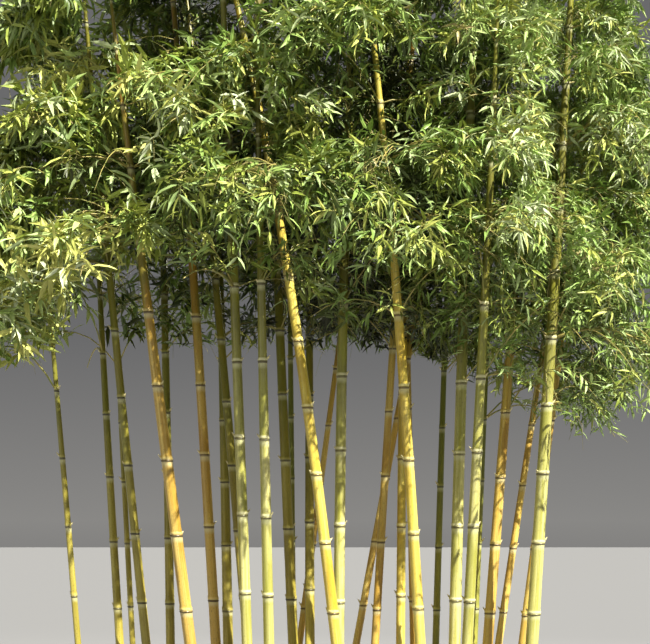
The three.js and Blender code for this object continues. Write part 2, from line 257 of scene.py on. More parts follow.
# %% The canes' sizes
SOIL_LEVEL = 505
SEAT_GAP = 0.3
FEET_AT = (SOIL_LEVEL + SEAT_GAP) * MM
NOD_HEIGHT = 4600
TAPER = 0.86
TAPER_POWER = 2.4
FOOT_FLARE = 0.16
FLARE_HEIGHT = 0.05
FIRST_INTERNODES = [0.45, 0.65, 0.85]
LENGTH_UPWARDS = (1.75, 1.2)  # an internode's length at the foot, not above 1, and what it loses by the top
LEAFY_TOP = 1250
PATTERN_LENGTH = 9  # metres of pattern, and each cane starts anywhere in them

CANES = [
    # foot x, y, lean right and back, nod right and back, thickness, height, internode, first joint, tone
    (-940, -50, (-6.5, -3), (0, -150), 28, 2850, 300, 130, "olive"),
    (-800, 100, (-6.5, 5), (60, 200), 38, 3350, 300, 60, "olive"),
    (-645, 0, (-7, -4), (80, -200), 40, 3950, 300, 100, "olive"),
    (-610, 180, (-3, 5), (-60, 60), 42, 4300, 300, 75, "olive"),
    (-415, -180, (-8, -6), (60, -160), 52, 3450, 315, 50, "amber"),
    (-360, -50, (-4.5, 1), (-60, 0), 45, 4850, 320, 70, "amber"),
    (-350, 200, (-2.5, 6), (-60, 120), 48, 3550, 300, 40, "olive"),
    (-230, -150, (-2.5, -4), (0, -200), 46, 4450, 330, 90, "lime"),
    (-215, 50, (-6, 3), (-60, 60), 43, 4100, 300, 110, "olive"),
    (-145, -120, (-1.5, -8), (40, -160), 46, 3350, 330, 80, "lime"),
    (-40, 120, (-3, 5), (0, 120), 48, 4950, 320, 60, "olive"),
    (15, 100, (-0.5, 10), (40, 100), 45, 3700, 310, 120, "olive"),
    (135, -80, (0.5, -2), (120, -60), 48, 5150, 330, 45, "lime"),
    (190, -220, (-6.5, -2), (-330, -60), 48, 4350, 290, 90, "gold"),
    (130, 180, (11, 2), (0, 60), 35, 3450, 290, 90, "amber"),
    (270, 50, (4, 2), (40, 60), 37, 4450, 300, 60, "amber"),
    (405, 0, (1.5, 6), (60, 100), 41, 4850, 310, 100, "gold"),
    (510, -200, (-3, -5), (-170, -120), 46, 4000, 310, 70, "gold"),
    (570, 220, (3.5, 8), (60, 100), 33, 3650, 290, 60, "moss"),
    (625, -50, (2.5, -1), (60, 0), 52, 5000, 320, 70, "lime"),
    (645, -200, (3.5, -7), (-60, -160), 47, 3450, 310, 100, "lime"),
    (745, -20, (6.5, 3), (0, 100), 47, 4100, 300, 50, "amber"),
    (775, 110, (11.5, 6), (0, 160), 35, 3150, 290, 60, "amber"),
    (905, -220, (5.5, -1), (-40, -60), 54, 4300, 295, 75, "lime"),
]
SLENDER_CANES = [
    (-765, 200, (-6, 6), (0, 100), 27, 3050, 290, 80, "olive"),
    (-62, 220, (-1, 7), (0, 100), 32, 3500, 300, 60, "moss"),
    (-102, 200, (7.5, 8), (0, 60), 32, 3300, 290, 70, "amber"),
    (486, 150, (0, 4), (0, 100), 32, 3600, 300, 90, "amber"),
    (718, 100, (4.5, 4), (0, 100), 36, 3500, 290, 80, "moss"),
    (873, 0, (9.5, 1), (0, 60), 38, 3400, 290, 60, "amber"),
]


class Cane:
    def __init__(self, name, row):
        self.name = name
        foot_x, foot_y, lean, nod, thick, tall, self.internode, self.first, self.tone = row
        self.foot = np.array((foot_x, foot_y)) * MM
        self.slope = np.tan(np.radians(lean))
        self.nod = np.array(nod) * MM
        self.radius_at_foot = thick / 2 * MM
        self.tall = tall * MM
        self.pattern_start = PATTERN_LENGTH * random.random()
        self.joints = self.joint_heights()

    def joint_heights(self):
        heights = []
        height = self.first * MM
        while height < self.tall:
            at_foot = FIRST_INTERNODES[len(heights)] if len(heights) < 3 else 1
            heights.append(height)
            at_top = min(1, LENGTH_UPWARDS[0] - LENGTH_UPWARDS[1] * height / self.tall)
            height += self.internode * MM * at_foot * at_top
        return np.array(heights)

    def centre(self, height):
        height = np.asarray(height, float)
        level = self.foot + np.multiply.outer(height, self.slope)
        level = level + np.multiply.outer((height / (NOD_HEIGHT * MM)) ** 3, self.nod)
        z = FEET_AT + height
        return np.concatenate([level, z[..., None]], axis=-1)

    def radius(self, height):
        used = np.clip(np.asarray(height) / self.tall, 0, 1)
        return self.radius_at_foot * (1 - TAPER * used**TAPER_POWER)


canes = [Cane(f"culm_{i:02d}_{row[-1]}", row) for i, row in enumerate(CANES, 1)]
slender = [Cane(f"slender_culm_{i}_{row[-1]}", row) for i, row in enumerate(SLENDER_CANES, 1)]
print("canes:", len(canes), "slender:", len(slender), "tallest:", max(c.tall for c in canes))

# %% [markdown]
# A cane is a chain of smooth lengths with a joint between each two. A joint has two rings: a thin sharp
# scar where the old sheath fell off, and a rounder ridge just above it. A whole cane could be lathed,
# but all joints have the same shape, so modelling one is enough. A circle is extruded upwards ring by
# ring, and each ring is scaled to the joint's profile.

# %% One joint of cane
CANE_SIDES = 20
JOINT_SPACING = 0.3
JOINT_REACH = 0.024  # the joint's own shape ends this far above and below it
JOINT_PROFILE = [
    # height from the joint in metres, width against the cane's
    (-0.15, 1.0), (-0.024, 1.0), (-0.009, 1.025), (-0.0015, 1.06), (0.0, 1.20), (0.002, 1.07),
    (0.005, 1.05), (0.009, 1.14), (0.0135, 1.08), (0.024, 1.0), (0.15, 1.0),
]


def edit_all():
    bpy.ops.object.mode_set(mode="EDIT")
    bpy.ops.mesh.select_all(action="SELECT")


def leave_edit():
    bpy.ops.object.mode_set(mode="OBJECT")


def extrude_up(height):
    bpy.ops.mesh.extrude_region_move(TRANSFORM_OT_translate={"value": (0, 0, height)})


def widen(x, y, about=(0, 0, 0)):
    bpy.ops.transform.resize(value=(x, y, 1), center_override=about)


def model_joint():
    low, first_width = JOINT_PROFILE[0]
    add_circle = bpy.ops.mesh.primitive_circle_add
    piece = new_mesh("joint", add_circle, vertices=CANE_SIDES, radius=first_width, location=(0, 0, low))
    edit_all()
    for (height, width), (next_height, next_width) in zip(JOINT_PROFILE, JOINT_PROFILE[1:]):
        extrude_up(next_height - height)
        widen(next_width / width, next_width / width)
    leave_edit()
    return piece


joint_piece = model_joint()
print("one joint has", len(joint_piece.data.polygons), "faces")

# %% [markdown]
# An Array modifier stacks the joint into a straight cane. A Curve modifier could bend it, but its
# joints would stay evenly spaced, so its vertices are carried onto the cane's own line instead. Near a
# joint their heights keep their real size, and between joints they stretch to the cane's own spacing.
# For the finish, each vertex remembers how many joints lie below it and where it was on the straight
# cane.

# %% Bend a straight cane to its own line
def stack_joints(count, name):
    cane = joint_piece.copy()
    cane.data = joint_piece.data.copy()
    cane.name = name
    bpy.context.collection.objects.link(cane)
    bpy.ops.object.select_all(action="DESELECT")
    cane.select_set(True)
    bpy.context.view_layer.objects.active = cane
    stack = cane.modifiers.new("Joints", "ARRAY")
    stack.count = count
    stack.use_relative_offset = False
    stack.use_constant_offset = True
    stack.constant_offset_displace = (0, 0, JOINT_SPACING)
    stack.use_merge_vertices = True
    stack.merge_threshold = 1e-4
    bpy.ops.object.modifier_apply(modifier=stack.name)
    edit_all()
    bpy.ops.mesh.fill_holes(sides=0)
    edit_all()
    bpy.ops.mesh.normals_make_consistent(inside=False)
    leave_edit()
    return cane


def read_places(mesh):
    places = np.empty(len(mesh.vertices) * 3)
    mesh.vertices.foreach_get("co", places)
    return places.reshape(-1, 3)


def real_heights(z, cane):
    """Heights above the soil of a straight stack's z values, for a cane with joints of its own."""
    joints = cane.joints
    between = (joints[:-1] + joints[1:]) / 2
    lower = np.concatenate([[0.0], between])
    upper = np.concatenate([between, [cane.tall]])
    which = np.clip(np.round(z / JOINT_SPACING).astype(int), 0, len(joints) - 1)
    local = z - which * JOINT_SPACING
    share = (np.abs(local) - JOINT_REACH) / (JOINT_SPACING / 2 - JOINT_REACH)
    above = joints[which] + JOINT_REACH
    below = joints[which] - JOINT_REACH
    heights = joints[which] + local
    heights = np.where(local > JOINT_REACH, above + (upper[which] - above) * share, heights)
    return np.where(local < -JOINT_REACH, below + (lower[which] - below) * share, heights)


def bend(cane_object, cane):
    mesh = cane_object.data
    places = read_places(mesh)
    heights = real_heights(places[:, 2], cane)
    flare = 1 + FOOT_FLARE * np.exp(-heights / FLARE_HEIGHT)
    bent = cane.centre(heights)
    bent[:, :2] += places[:, :2] * (cane.radius(heights) * flare)[:, None]
    mesh.vertices.foreach_set("co", bent.ravel())
    # below the first joint and above the last one there is only a part of an internode
    marks = np.concatenate([[-cane.joints[0] * 2], cane.joints, [cane.tall + 0.2]])
    internode = mesh.attributes.new("internode", "FLOAT", "POINT")
    first_mark = 10 * int(10 * cane.pattern_start)
    internode.data.foreach_set("value", np.interp(heights, marks, first_mark + np.arange(len(marks))))
    straight = mesh.attributes.new("straight", "FLOAT_VECTOR", "POINT")
    own = np.column_stack([places[:, :2] * cane.radius_at_foot, heights + cane.pattern_start])
    straight.data.foreach_set("vector", own.ravel())
    mesh.shade_smooth()
    mesh.update()


def make_cane(cane):
    piece = stack_joints(len(cane.joints), cane.name + "_cane")
    bend(piece, cane)
    return piece


cane_pieces = {cane.name: make_cane(cane) for cane in canes + slender}
bpy.data.objects.remove(joint_piece)
print("cane faces:", sum(len(p.data.polygons) for p in cane_pieces.values()))

# %% [markdown]
# A joint also carries a bud: a small pointed scale that leans out, on one side and then on the other.
# It is a cone, swollen near its foot. There are too many to place by hand, so one is modelled, and
# copies of it are joined into one mesh.

# %% Buds at the joints
BUD_LENGTH = 0.017
BUD_RADIUS = 0.0068
BUD_FLATNESS = 0.7
BUD_SWELLS = (0.35, 1.35)  # at which share of its length, and how much
BUD_LEANS_OUT = 0.9
BUD_ABOVE_SCAR = 0.012
BUD_SUNK = 0.96
BUD_GROWN = (0.7, 1.5)
BUDS_UP_TO = 2.4


def object_of(mesh):
    piece = bpy.data.objects.new(mesh.name, mesh)
    bpy.context.collection.objects.link(piece)
    return piece


def joined_copies(name, template, places, frames, sizes, tints=None):
    """One mesh of many copies. frames holds each copy's three directions as columns."""
    shape = read_places(template.data)
    corners = [tuple(p.vertices) for p in template.data.polygons]
    spread = np.einsum("nij,nvj->nvi", frames, shape[None] * sizes[:, None, :]) + places[:, None]
    count = len(shape)
    sides = np.array([len(c) for c in corners])
    flat = np.concatenate([np.array(c) for c in corners])
    loops = (flat[None] + count * np.arange(len(places))[:, None]).ravel()
    mesh = bpy.data.meshes.new(name)
    mesh.vertices.add(count * len(places))
    mesh.vertices.foreach_set("co", spread.ravel())
    mesh.loops.add(len(loops))
    mesh.loops.foreach_set("vertex_index", loops)
    starts = np.concatenate([[0], np.cumsum(np.tile(sides, len(places)))[:-1]])
    mesh.polygons.add(len(starts))
    mesh.polygons.foreach_set("loop_start", starts)
    if tints is not None:
        mesh.polygons.foreach_set("material_index", np.repeat(tints, len(sides)))
    mesh.update(calc_edges=True)
    mesh.shade_flat()
    return object_of(mesh)


def model_bud():
    height, width = BUD_SWELLS
    add_cone = bpy.ops.mesh.primitive_cone_add
    bud = new_mesh("bud", add_cone, vertices=7, radius1=1, depth=1, location=(0, 0, 0.5))
    edit_all()
    bpy.ops.mesh.bisect(plane_co=(0, 0, height), plane_no=(0, 0, 1))
    widen(width, width)
    leave_edit()
    return bud


def normalized(vectors):
    return vectors / np.linalg.norm(vectors, axis=-1, keepdims=True)


def place_buds():
    placed = []
    upright = np.array((0, 0, 1.0))
    for cane in canes + slender:
        for i, height in enumerate(cane.joints[2:]):
            if height > BUDS_UP_TO:
                break
            turn = math.pi * i + 0.5 * math.sin(7 * height)  # from side to side, not quite in line
            out = np.array((math.cos(turn), math.sin(turn), 0))
            place = cane.centre(height + BUD_ABOVE_SCAR) + out * float(cane.radius(height)) * BUD_SUNK
            up = normalized(upright + BUD_LEANS_OUT * out)
            side = np.cross(upright, out)
            frame = np.stack([np.cross(side, up), side, up], axis=1)
            long = BUD_LENGTH * random.uniform(*BUD_GROWN)
            placed.append((place, frame, (BUD_RADIUS * BUD_FLATNESS, BUD_RADIUS, long)))
    return joined_copies("buds", bud_model, *map(np.array, zip(*placed)))


bud_model = model_bud()
buds = place_buds()
bpy.data.objects.remove(bud_model)
print("bud faces:", len(buds.data.polygons))

# %% [markdown]
# A cane's skin is smooth and waxy. Its colour runs in long streaks, changes a little from one
# internode to the next, and is mottled where the sun has burnt it. Below each joint is a pale band of
# bloom, the scar is a dark line, and the ridge above it is painted pale as a highlight, strongly on the
# gold and lime canes and faintly on the others. A cane ripens from its foot, so it is greener high up,
# and it is also painted darker there as shade under the crown. The canes of a clump differ in age, so
# each tone has colours of its own.
# Thirty canes could be painted one by one, but stretched noise does it for all of them. It reads the
# place on the straight cane, so the streaks follow a cane however it leans.

# %% Finish of the canes
CANE_COLOURS = {
    # tone: main colour, blotches, streaks, colour high up (green, darkened as painted shade), scar
    "gold": (
        (0.72, 0.59, 0.09), (0.48, 0.32, 0.02), (0.84, 0.76, 0.32), (0.30, 0.28, 0.03), (0.12, 0.08, 0.02)
    ),
    "lime": (
        (0.60, 0.56, 0.17), (0.28, 0.28, 0.03), (0.80, 0.76, 0.44), (0.14, 0.135, 0.015), (0.10, 0.08, 0.03)
    ),
    "olive": (
        (0.42, 0.34, 0.05), (0.23, 0.19, 0.02), (0.64, 0.56, 0.14), (0.16, 0.16, 0.018), (0.025, 0.018, 0.008)
    ),
    "amber": (
        (0.63, 0.44, 0.08), (0.37, 0.20, 0.02), (0.80, 0.68, 0.25), (0.16, 0.14, 0.02), (0.05, 0.028, 0.01)
    ),
    "moss": (
        (0.38, 0.36, 0.05), (0.18, 0.19, 0.03), (0.58, 0.54, 0.12), (0.13, 0.15, 0.02), (0.03, 0.03, 0.01)
    ),
}
GREEN_AND_SHADED_BETWEEN = {
    # tone: the heights between which a cane turns from ripe to green, and painted dark as shade
    "gold": (2.7, 3.8), "lime": (1.5, 2.5), "olive": (1.1, 2.2), "amber": (2.0, 2.6), "moss": (0.9, 2.0),
}
BLOOM = (0.66, 0.66, 0.40)
CANE_PATTERNS = {
    # name: scale along the cane against across it, scale, detail, the levels where it starts and is full
    "mottle": (0.3, 30, 4, 0.44, 0.60),
    "blotches": (0.22, 17, 4, 0.50, 0.62),
    "stripes": (0.006, 46, 1, 0.49, 0.55),
    "streaks": (0.02, 210, 2, 0.42, 0.66),
    "freckles": (0.5, 260, 2, 0.60, 0.70),
}
# how strongly each tone's ridge is painted pale as a highlight
PAINTED_RIDGE_HIGHLIGHT = {"gold": 0.7, "lime": 0.7, "olive": 0.25, "amber": 0.4, "moss": 0.15}


def cane_material(tone):
    main, second, streak, green, scar_colour = CANE_COLOURS[tone]
    nodes = nodes_for(f"{tone}_cane")
    count = nodes.attribute("internode")["Fac"]
    place = nodes.attribute("straight")["Vector"]
    share = nodes.math("FRACT", count)
    own = nodes.add("TexWhiteNoise")
    own.noise_dimensions = "1D"
    aged = nodes.feed(own, W=nodes.math("FLOOR", count)).outputs["Value"]
    height = nodes.add("SeparateXYZ", Vector=nodes.place()).outputs["Z"]
    ripe_below, green_above = GREEN_AND_SHADED_BETWEEN[tone]
    up = nodes.add("MapRange", Value=height, From_Min=ripe_below, From_Max=green_above).outputs["Result"]
    mottle, blotches, stripes, streaks, freckles = (
        nodes.ramp(nodes.noise((1, 1, length), scale, detail, place), (low, 0), (high, 1))
        for length, scale, detail, low, high in CANE_PATTERNS.values()
    )
    colour = nodes.tint(main, second, stripes, 0.55)
    colour = nodes.tint(colour, streak, streaks, 0.45)
    colour = nodes.tint(colour, second, aged, 0.45)
    # higher up: green from ripening, and darker as painted shade under the crown
    greened_and_shaded = nodes.math("MULTIPLY", nodes.math("MULTIPLY_ADD", mottle, 0.3, up), up)
    colour = nodes.mix(nodes.math("MINIMUM", greened_and_shaded, 0.9), colour, green)
    colour = nodes.tint(colour, second, blotches, 0.65)
    colour = nodes.tint(colour, scar_colour, freckles, 0.45)
    bloom = nodes.ramp(share, (0.0, 0.6), (0.05, 0), (0.90, 0), (0.95, 1), (0.984, 0.9))
    colour = nodes.tint(colour, BLOOM, bloom, 0.45)
    # painted highlight: a pale ring on the ridge above the scar
    ridge_highlight = nodes.ramp(share, (0.0, 0), (0.016, 0), (0.024, 1), (0.044, 1), (0.060, 0))
    colour = nodes.tint(colour, streak, ridge_highlight, PAINTED_RIDGE_HIGHLIGHT[tone])
    scar = nodes.ramp(share, (0.0, 1), (0.011, 1), (0.017, 0), (0.979, 0), (0.986, 1))
    colour = nodes.tint(colour, scar_colour, scar, nodes.math("MULTIPLY_ADD", aged, 0.35, 0.6))
    shine = nodes.ramp(mottle, (0.0, 0.28), (1.0, 0.44))
    skin = nodes.bump(streaks, 0.12, 0.0006)
    return nodes.finish(Base_Color=colour, Roughness=shine, Coat_Weight=0.12, Normal=skin)


cane_finish = {tone: cane_material(tone) for tone in CANE_COLOURS}
bud_finish = plain_material("bud_scale", (0.68, 0.60, 0.30), 0.6)

for cane in canes + slender:
    piece = cane_pieces[cane.name]
    paint(piece, cane_finish[cane.tone])
    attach(piece, "root")
for cane in canes:
    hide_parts(cane.name)
paint(buds, bud_finish)
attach(buds, "root")
print("cane tones:", ", ".join(cane_finish))

# %% [markdown]
# Each joint inside the crown bears three long branches and a short one, which turn round the cane by a
# steady angle from joint to joint. They rise at first and then hang. Longer side boughs fill the
# crown's lower edge, and short ones its thin places. Drawing so many by hand would take days, so a rule
# with a fixed seed grows them. It keeps them inside a rounded outline that draws in towards the top.

# %% The rule for the branches
CROWN_MIDDLE = 0.08
CROWN_HALF_WIDTH = 1.60
CROWN_HALF_DEPTH = 1.12
CROWN_WIDEST = 3.10
CROWN_HIGH = 5.85
CROWN_DRAWN_IN = 0.45
CROWN_SQUARENESS = 2.5
TURN_BETWEEN_JOINTS = math.radians(137.5)
FLOOR_BEHIND = (
    [-1.5, -1.1, -0.4, 0.5, 0.95, 1.25, 1.7],
    [2.24, 2.34, 2.34, 2.30, 2.06, 1.92, 1.90],
)
FLOOR_IN_FRONT = (
    [-1.5, -1.12, -1.0, -0.65, -0.15, 0.0, 0.5, 1.0, 1.25, 1.7],
    [2.20, 2.30, 2.60, 2.72, 2.66, 2.42, 2.36, 2.16, 1.90, 1.88],
)
FAR_OUTSIDE = 9
BRANCHES_AT_JOINT = 4
TURN_AT_JOINT = 2.2
TURN_SPREAD = 0.4
SHORT_BRANCH = 0.42
BRANCH_STEPS = 7
LOWEST_BRANCH = 1.8
BRANCHES_START = 0.15  # how far below the crown's edge
BRANCH_LENGTHS = (0.78, 0.42)  # at the lowest branch, and how much less at the cane's top
BRANCH_LENGTH_SPREAD = (0.7, 1.2)
BRANCH_RADII = (0.0042, 0.0016)  # at the lowest branch, and how much less at the top
BRANCH_RISES = (28, 62)
BRANCH_DROOPS = (0.45, 0.95)
TIP_BRANCH = (1.1, 0.2, 0.6)  # rise, length and droop of the branch that ends a cane
SHORTENED = (1, 0.85, 0.7, 0.55, 0.42)
ROOM_AT_TIP = (0.90, 1.0)
BOUGH_STEPS = 15
BOUGH_BARE_STEPS = 3
BOUGH_RADIUS, SPRAY_RADIUS, SIDE_RADIUS = 0.007, 0.0045, 0.003
SIDE_TURNS = (0.5, 1.2)
SIDE_LENGTHS = (0.45, 0.75)
SIDE_RISES = (0.0, 0.5)
SIDE_DROOP = 0.7
GRAVITY = np.array((0.0, 0.0, -1.0))

BOUGHS = [
    # cane counted from 0, height, heading, rise, length, droop
    (2, 2550, 200, 30, 480, 280), (2, 2250, 190, 25, 520, 620), (7, 2150, 250, 20, 600, 320),
    (13, 2300, 285, 30, 650, 360), (17, 2250, 285, 25, 650, 360), (23, 1900, 345, 25, 600, 400),
    (23, 2700, 320, 35, 650, 300), (10, 2250, 75, 20, 650, 340), (16, 2350, 105, 25, 650, 340),
    (1, 1900, 110, 25, 700, 340),
]
SPRAYS = [
    # the same for short boughs, which have no solid of their own
    (4, 2300, 250, 30, 400, 200), (4, 2600, 195, 30, 420, 260), (4, 2850, 300, 30, 400, 180),
    (4, 3200, 215, 30, 460, 240), (0, 2200, 175, 25, 360, 200), (0, 2600, 195, 30, 360, 200),
    (2, 2900, 230, 30, 420, 240), (2, 3400, 190, 30, 420, 260), (7, 2600, 260, 30, 420, 240),
    (13, 2950, 270, 25, 420, 160), (13, 2550, 320, 25, 380, 200), (17, 2650, 280, 25, 420, 200),
    (17, 3100, 250, 30, 420, 200), (20, 2200, 300, 25, 380, 200), (20, 2600, 260, 30, 400, 200),
    (19, 2300, 280, 25, 420, 220), (23, 2450, 240, 25, 380, 200), (23, 3000, 300, 30, 420, 200),
    (22, 1850, 15, 15, 460, 360), (21, 2000, 340, 20, 420, 300), (19, 2750, 245, 30, 420, 200),
    (19, 3150, 290, 30, 420, 200), (19, 3550, 260, 30, 400, 200), (23, 2600, 350, 25, 480, 240),
    (23, 3250, 10, 25, 460, 240), (22, 2450, 350, 25, 460, 240), (21, 2900, 330, 25, 460, 240),
    (21, 3400, 350, 30, 460, 240), (23, 2850, 0, 20, 520, 260), (21, 2600, 5, 20, 560, 300),
    (23, 2150, 310, 25, 540, 280), (23, 2400, 10, 25, 520, 200), (7, 2350, 275, 25, 620, 260),
    (9, 2350, 285, 25, 600, 260), (2, 2100, 205, 15, 540, 560), (2, 2350, 215, 20, 500, 460),
    (23, 3500, 0, 25, 480, 240), (23, 3600, 335, 25, 460, 240),
]


def crown_floor(points):
    """The crown's lower edge. It is drawn as the eye sees it on the plane of the canes."""
    sight = 1 + points[..., 1] / abs(EYE[1])
    across = EYE[0] + (points[..., 0] - EYE[0]) / sight
    behind = np.interp(across, *FLOOR_BEHIND)
    in_front = np.interp(across, *FLOOR_IN_FRONT)
    edge = np.where(points[..., 1] < 0, in_front, behind)
    return EYE[2] + (edge - EYE[2]) * sight


def crown_room(points):
    """Under 1 inside the crown's outline, and over 1 outside it."""
    risen = np.maximum(0, (points[..., 2] - CROWN_WIDEST) / (CROWN_HIGH - CROWN_WIDEST))
    swell = np.maximum(0.05, 1 - CROWN_DRAWN_IN * risen**2)
    across = np.abs(points[..., 0] - CROWN_MIDDLE) / (CROWN_HALF_WIDTH * swell)
    along = np.abs(points[..., 1]) / (CROWN_HALF_DEPTH * swell)
    too_low = points[..., 2] < crown_floor(points)
    too_high = points[..., 2] > CROWN_HIGH
    oval = (across**CROWN_SQUARENESS + along**CROWN_SQUARENESS) ** (1 / CROWN_SQUARENESS)
    return oval + FAR_OUTSIDE * (too_low | too_high)


def branch_path(root, heading, rise, length, droop, steps=BRANCH_STEPS):
    level = np.array((math.cos(heading), math.sin(heading), 0))
    share = np.linspace(0, 1, steps)[:, None]
    straight = level * math.cos(rise) - GRAVITY * math.sin(rise)
    return root + straight * length * share + GRAVITY * droop * length * share**2


def branch_that_fits(root, heading, rise, length, droop):
    """The branch's path, shortened until its tip is inside the crown, or None."""
    room = random.uniform(*ROOM_AT_TIP)
    for shortened in SHORTENED:
        path = branch_path(root, heading, rise, length * shortened, droop)
        if crown_room(path[-1:])[0] < room:
            return path
    return None


def cane_branches():
    """Each branch's path, its radius, and whether it carries other branches."""
    grown = []
    for number, cane in enumerate(canes + slender):
        for i, height in enumerate(cane.joints):
            root = cane.centre(height)
            if root[2] < crown_floor(root) - BRANCHES_START:
                continue
            up = (height - LOWEST_BRANCH) / (cane.tall - LOWEST_BRANCH)
            for k in range(BRANCHES_AT_JOINT):
                heading = TURN_BETWEEN_JOINTS * (i + number) + TURN_AT_JOINT * k
                heading += random.uniform(-TURN_SPREAD, TURN_SPREAD)
                rise = math.radians(random.uniform(*BRANCH_RISES))
                length = BRANCH_LENGTHS[0] - BRANCH_LENGTHS[1] * up
                length *= random.uniform(*BRANCH_LENGTH_SPREAD)
                if k == BRANCHES_AT_JOINT - 1:
                    length *= SHORT_BRANCH
                path = branch_that_fits(root, heading, rise, length, random.uniform(*BRANCH_DROOPS))
                if path is not None:
                    grown.append((path, BRANCH_RADII[0] - BRANCH_RADII[1] * up, False))
        tip = branch_path(cane.centre(cane.tall), TURN_BETWEEN_JOINTS * number, *TIP_BRANCH)
        grown.append((tip, SIDE_RADIUS, False))
    return grown


def bough_path(cane_number, height, heading, rise, length, droop, steps):
    cane = canes[cane_number]
    joint = cane.joints[np.argmin(np.abs(cane.joints - height * MM))]
    heading, rise = math.radians(heading), math.radians(rise)
    return branch_path(cane.centre(joint), heading, rise, length * MM, droop / length, steps)


def bough_branches(boughs, girth):
    """The same for each side bough and the branches on both sides of it."""
    grown = []
    for row in boughs:
        bough = bough_path(*row, BOUGH_STEPS)
        way, length = math.radians(row[2]), row[4] * MM
        grown.append((bough[::2][:BRANCH_STEPS], girth, True))
        for i, place in enumerate(bough[BOUGH_BARE_STEPS:]):
            side = 1 if i % 2 else -1
            side_way = way + side * random.uniform(*SIDE_TURNS)
            side_length = length * random.uniform(*SIDE_LENGTHS)
            rise = random.uniform(*SIDE_RISES)
            path = branch_that_fits(place, side_way, rise, side_length, SIDE_DROOP)
            if path is not None:
                grown.append((path, SIDE_RADIUS, False))
    return grown


grown = cane_branches()
grown += bough_branches(BOUGHS, BOUGH_RADIUS) + bough_branches(SPRAYS, SPRAY_RADIUS)
branches, girths, carries = map(np.array, zip(*grown))
print("branches:", len(branches))

# %% [markdown]
# Each branch bears finer twigs to either side, and each twig ends in a fan of leaves. Growing them one
# after another would be slow, so all are worked out at once in arrays: a twig starts at a share of its
# branch, turns off by 30 to 70 degrees, and hangs more the longer it is.

# %% Fine twigs
TWIGS_ON_BRANCH = 15
TWIG_STEPS = 3
TWIG_RADIUS = 0.0013
FIRST_TWIG = 0.16
TWIG_ROLL = 1.3
TWIG_ANGLES = (0.5, 1.2)
END_TWIGS = 0.95  # from here on along a branch, twigs turn off half as much
TWIG_LENGTHS = (0.36, 0.16)  # against the branch's reach: at its root, and how much less at its tip
TWIG_LENGTH_SPREAD = (0.7, 1.3)
LEAST_TWIG = 0.03
TWIG_HANG = (0.1, 0.6)


def along(paths, shares):
    """Points at shares from 0 to 1 of each path, and the paths' directions there."""
    last = paths.shape[1] - 1
    where = np.clip(shares * last, 0, last - 1e-6)
    low = where.astype(int)
    rows = np.arange(len(paths))[:, None]
    start, end = paths[rows, low], paths[rows, low + 1]
    point = start + (end - start) * (where - low)[..., None]
    return point, normalized(end - start)


def sideways_of(direction):
    side = np.cross(direction, -GRAVITY)
    return normalized(side + 1e-6)


def turned(ahead, aside, angle):
    """The directions ahead, turned towards the ones aside."""
    return ahead * np.cos(angle)[..., None] + aside * np.sin(angle)[..., None]


def grow_twigs():
    count = (len(branches), TWIGS_ON_BRANCH)
    shares = np.linspace(FIRST_TWIG, 1, TWIGS_ON_BRANCH) + random.uniform(-0.03, 0.03, count)
    root, ahead = along(branches, np.clip(shares, 0, 1))
    side = sideways_of(ahead)
    over = np.cross(side, ahead)
    hand = np.where(np.arange(TWIGS_ON_BRANCH) % 2, 1, -1) * np.ones(count)
    off = turned(side * hand[..., None], over, random.uniform(-TWIG_ROLL, TWIG_ROLL, count))
    angle = random.uniform(*TWIG_ANGLES, count) * (1 - 0.5 * (shares > END_TWIGS))
    direction = turned(ahead, off, angle)
    reach = np.linalg.norm(branches[:, -1] - branches[:, 0], axis=1)[:, None]
    length = reach * (TWIG_LENGTHS[0] - TWIG_LENGTHS[1] * shares)
    length = length * random.uniform(*TWIG_LENGTH_SPREAD, count) + LEAST_TWIG
    share = np.linspace(0, 1, TWIG_STEPS)[:, None]
    straight = direction[..., None, :] * length[..., None, None] * share
    hang = GRAVITY * (length * random.uniform(*TWIG_HANG, count))[..., None, None] * share**2
    return (root[..., None, :] + straight + hang).reshape(-1, TWIG_STEPS, 3)


twigs = grow_twigs()
twig_branch = np.repeat(np.arange(len(branches)), TWIGS_ON_BRANCH)
print("twigs:", len(twigs))

# %% [markdown]
# A bamboo leaf is a narrow arched blade, pointed at both ends and creased along its middle. One flat
# face would do from far off, but only a creased leaf is light on one side and dark on the other. It is
# modelled once, from a circle of six corners round a middle point: the far corners are drawn in, the
# sides are lifted to make the crease, and the tip is pulled down. All the leaves are copies of it.

# %% One leaf
CIRCLE_SIDES_AT = (0.25, 0.75)
LEAF_SIDES_AT = (0.26, 0.64)
LEAF_DRAWN_IN = 0.80
LEAF_CREASE = 0.045
LEAF_TIP_DOWN = 0.16
TO_FULL_WIDTH = 1.155  # the six corners of a circle are this much narrower than it is


def select(piece, kind, wanted):
    """Goes into edit mode with the corners, edges or faces selected whose corners are wanted."""
    bpy.ops.object.mode_set(mode="OBJECT")
    mesh = piece.data
    kinds = {"VERT": mesh.vertices, "EDGE": mesh.edges, "FACE": mesh.polygons}
    for parts in kinds.values():
        parts.foreach_set("select", np.zeros(len(parts), bool))
    for part in kinds[kind]:
        corners = [part.index] if kind == "VERT" else part.vertices
        part.select = wanted(*[mesh.vertices[corner].co for corner in corners])
    bpy.ops.object.mode_set(mode="EDIT")
    bpy.ops.mesh.select_mode(type=kind)


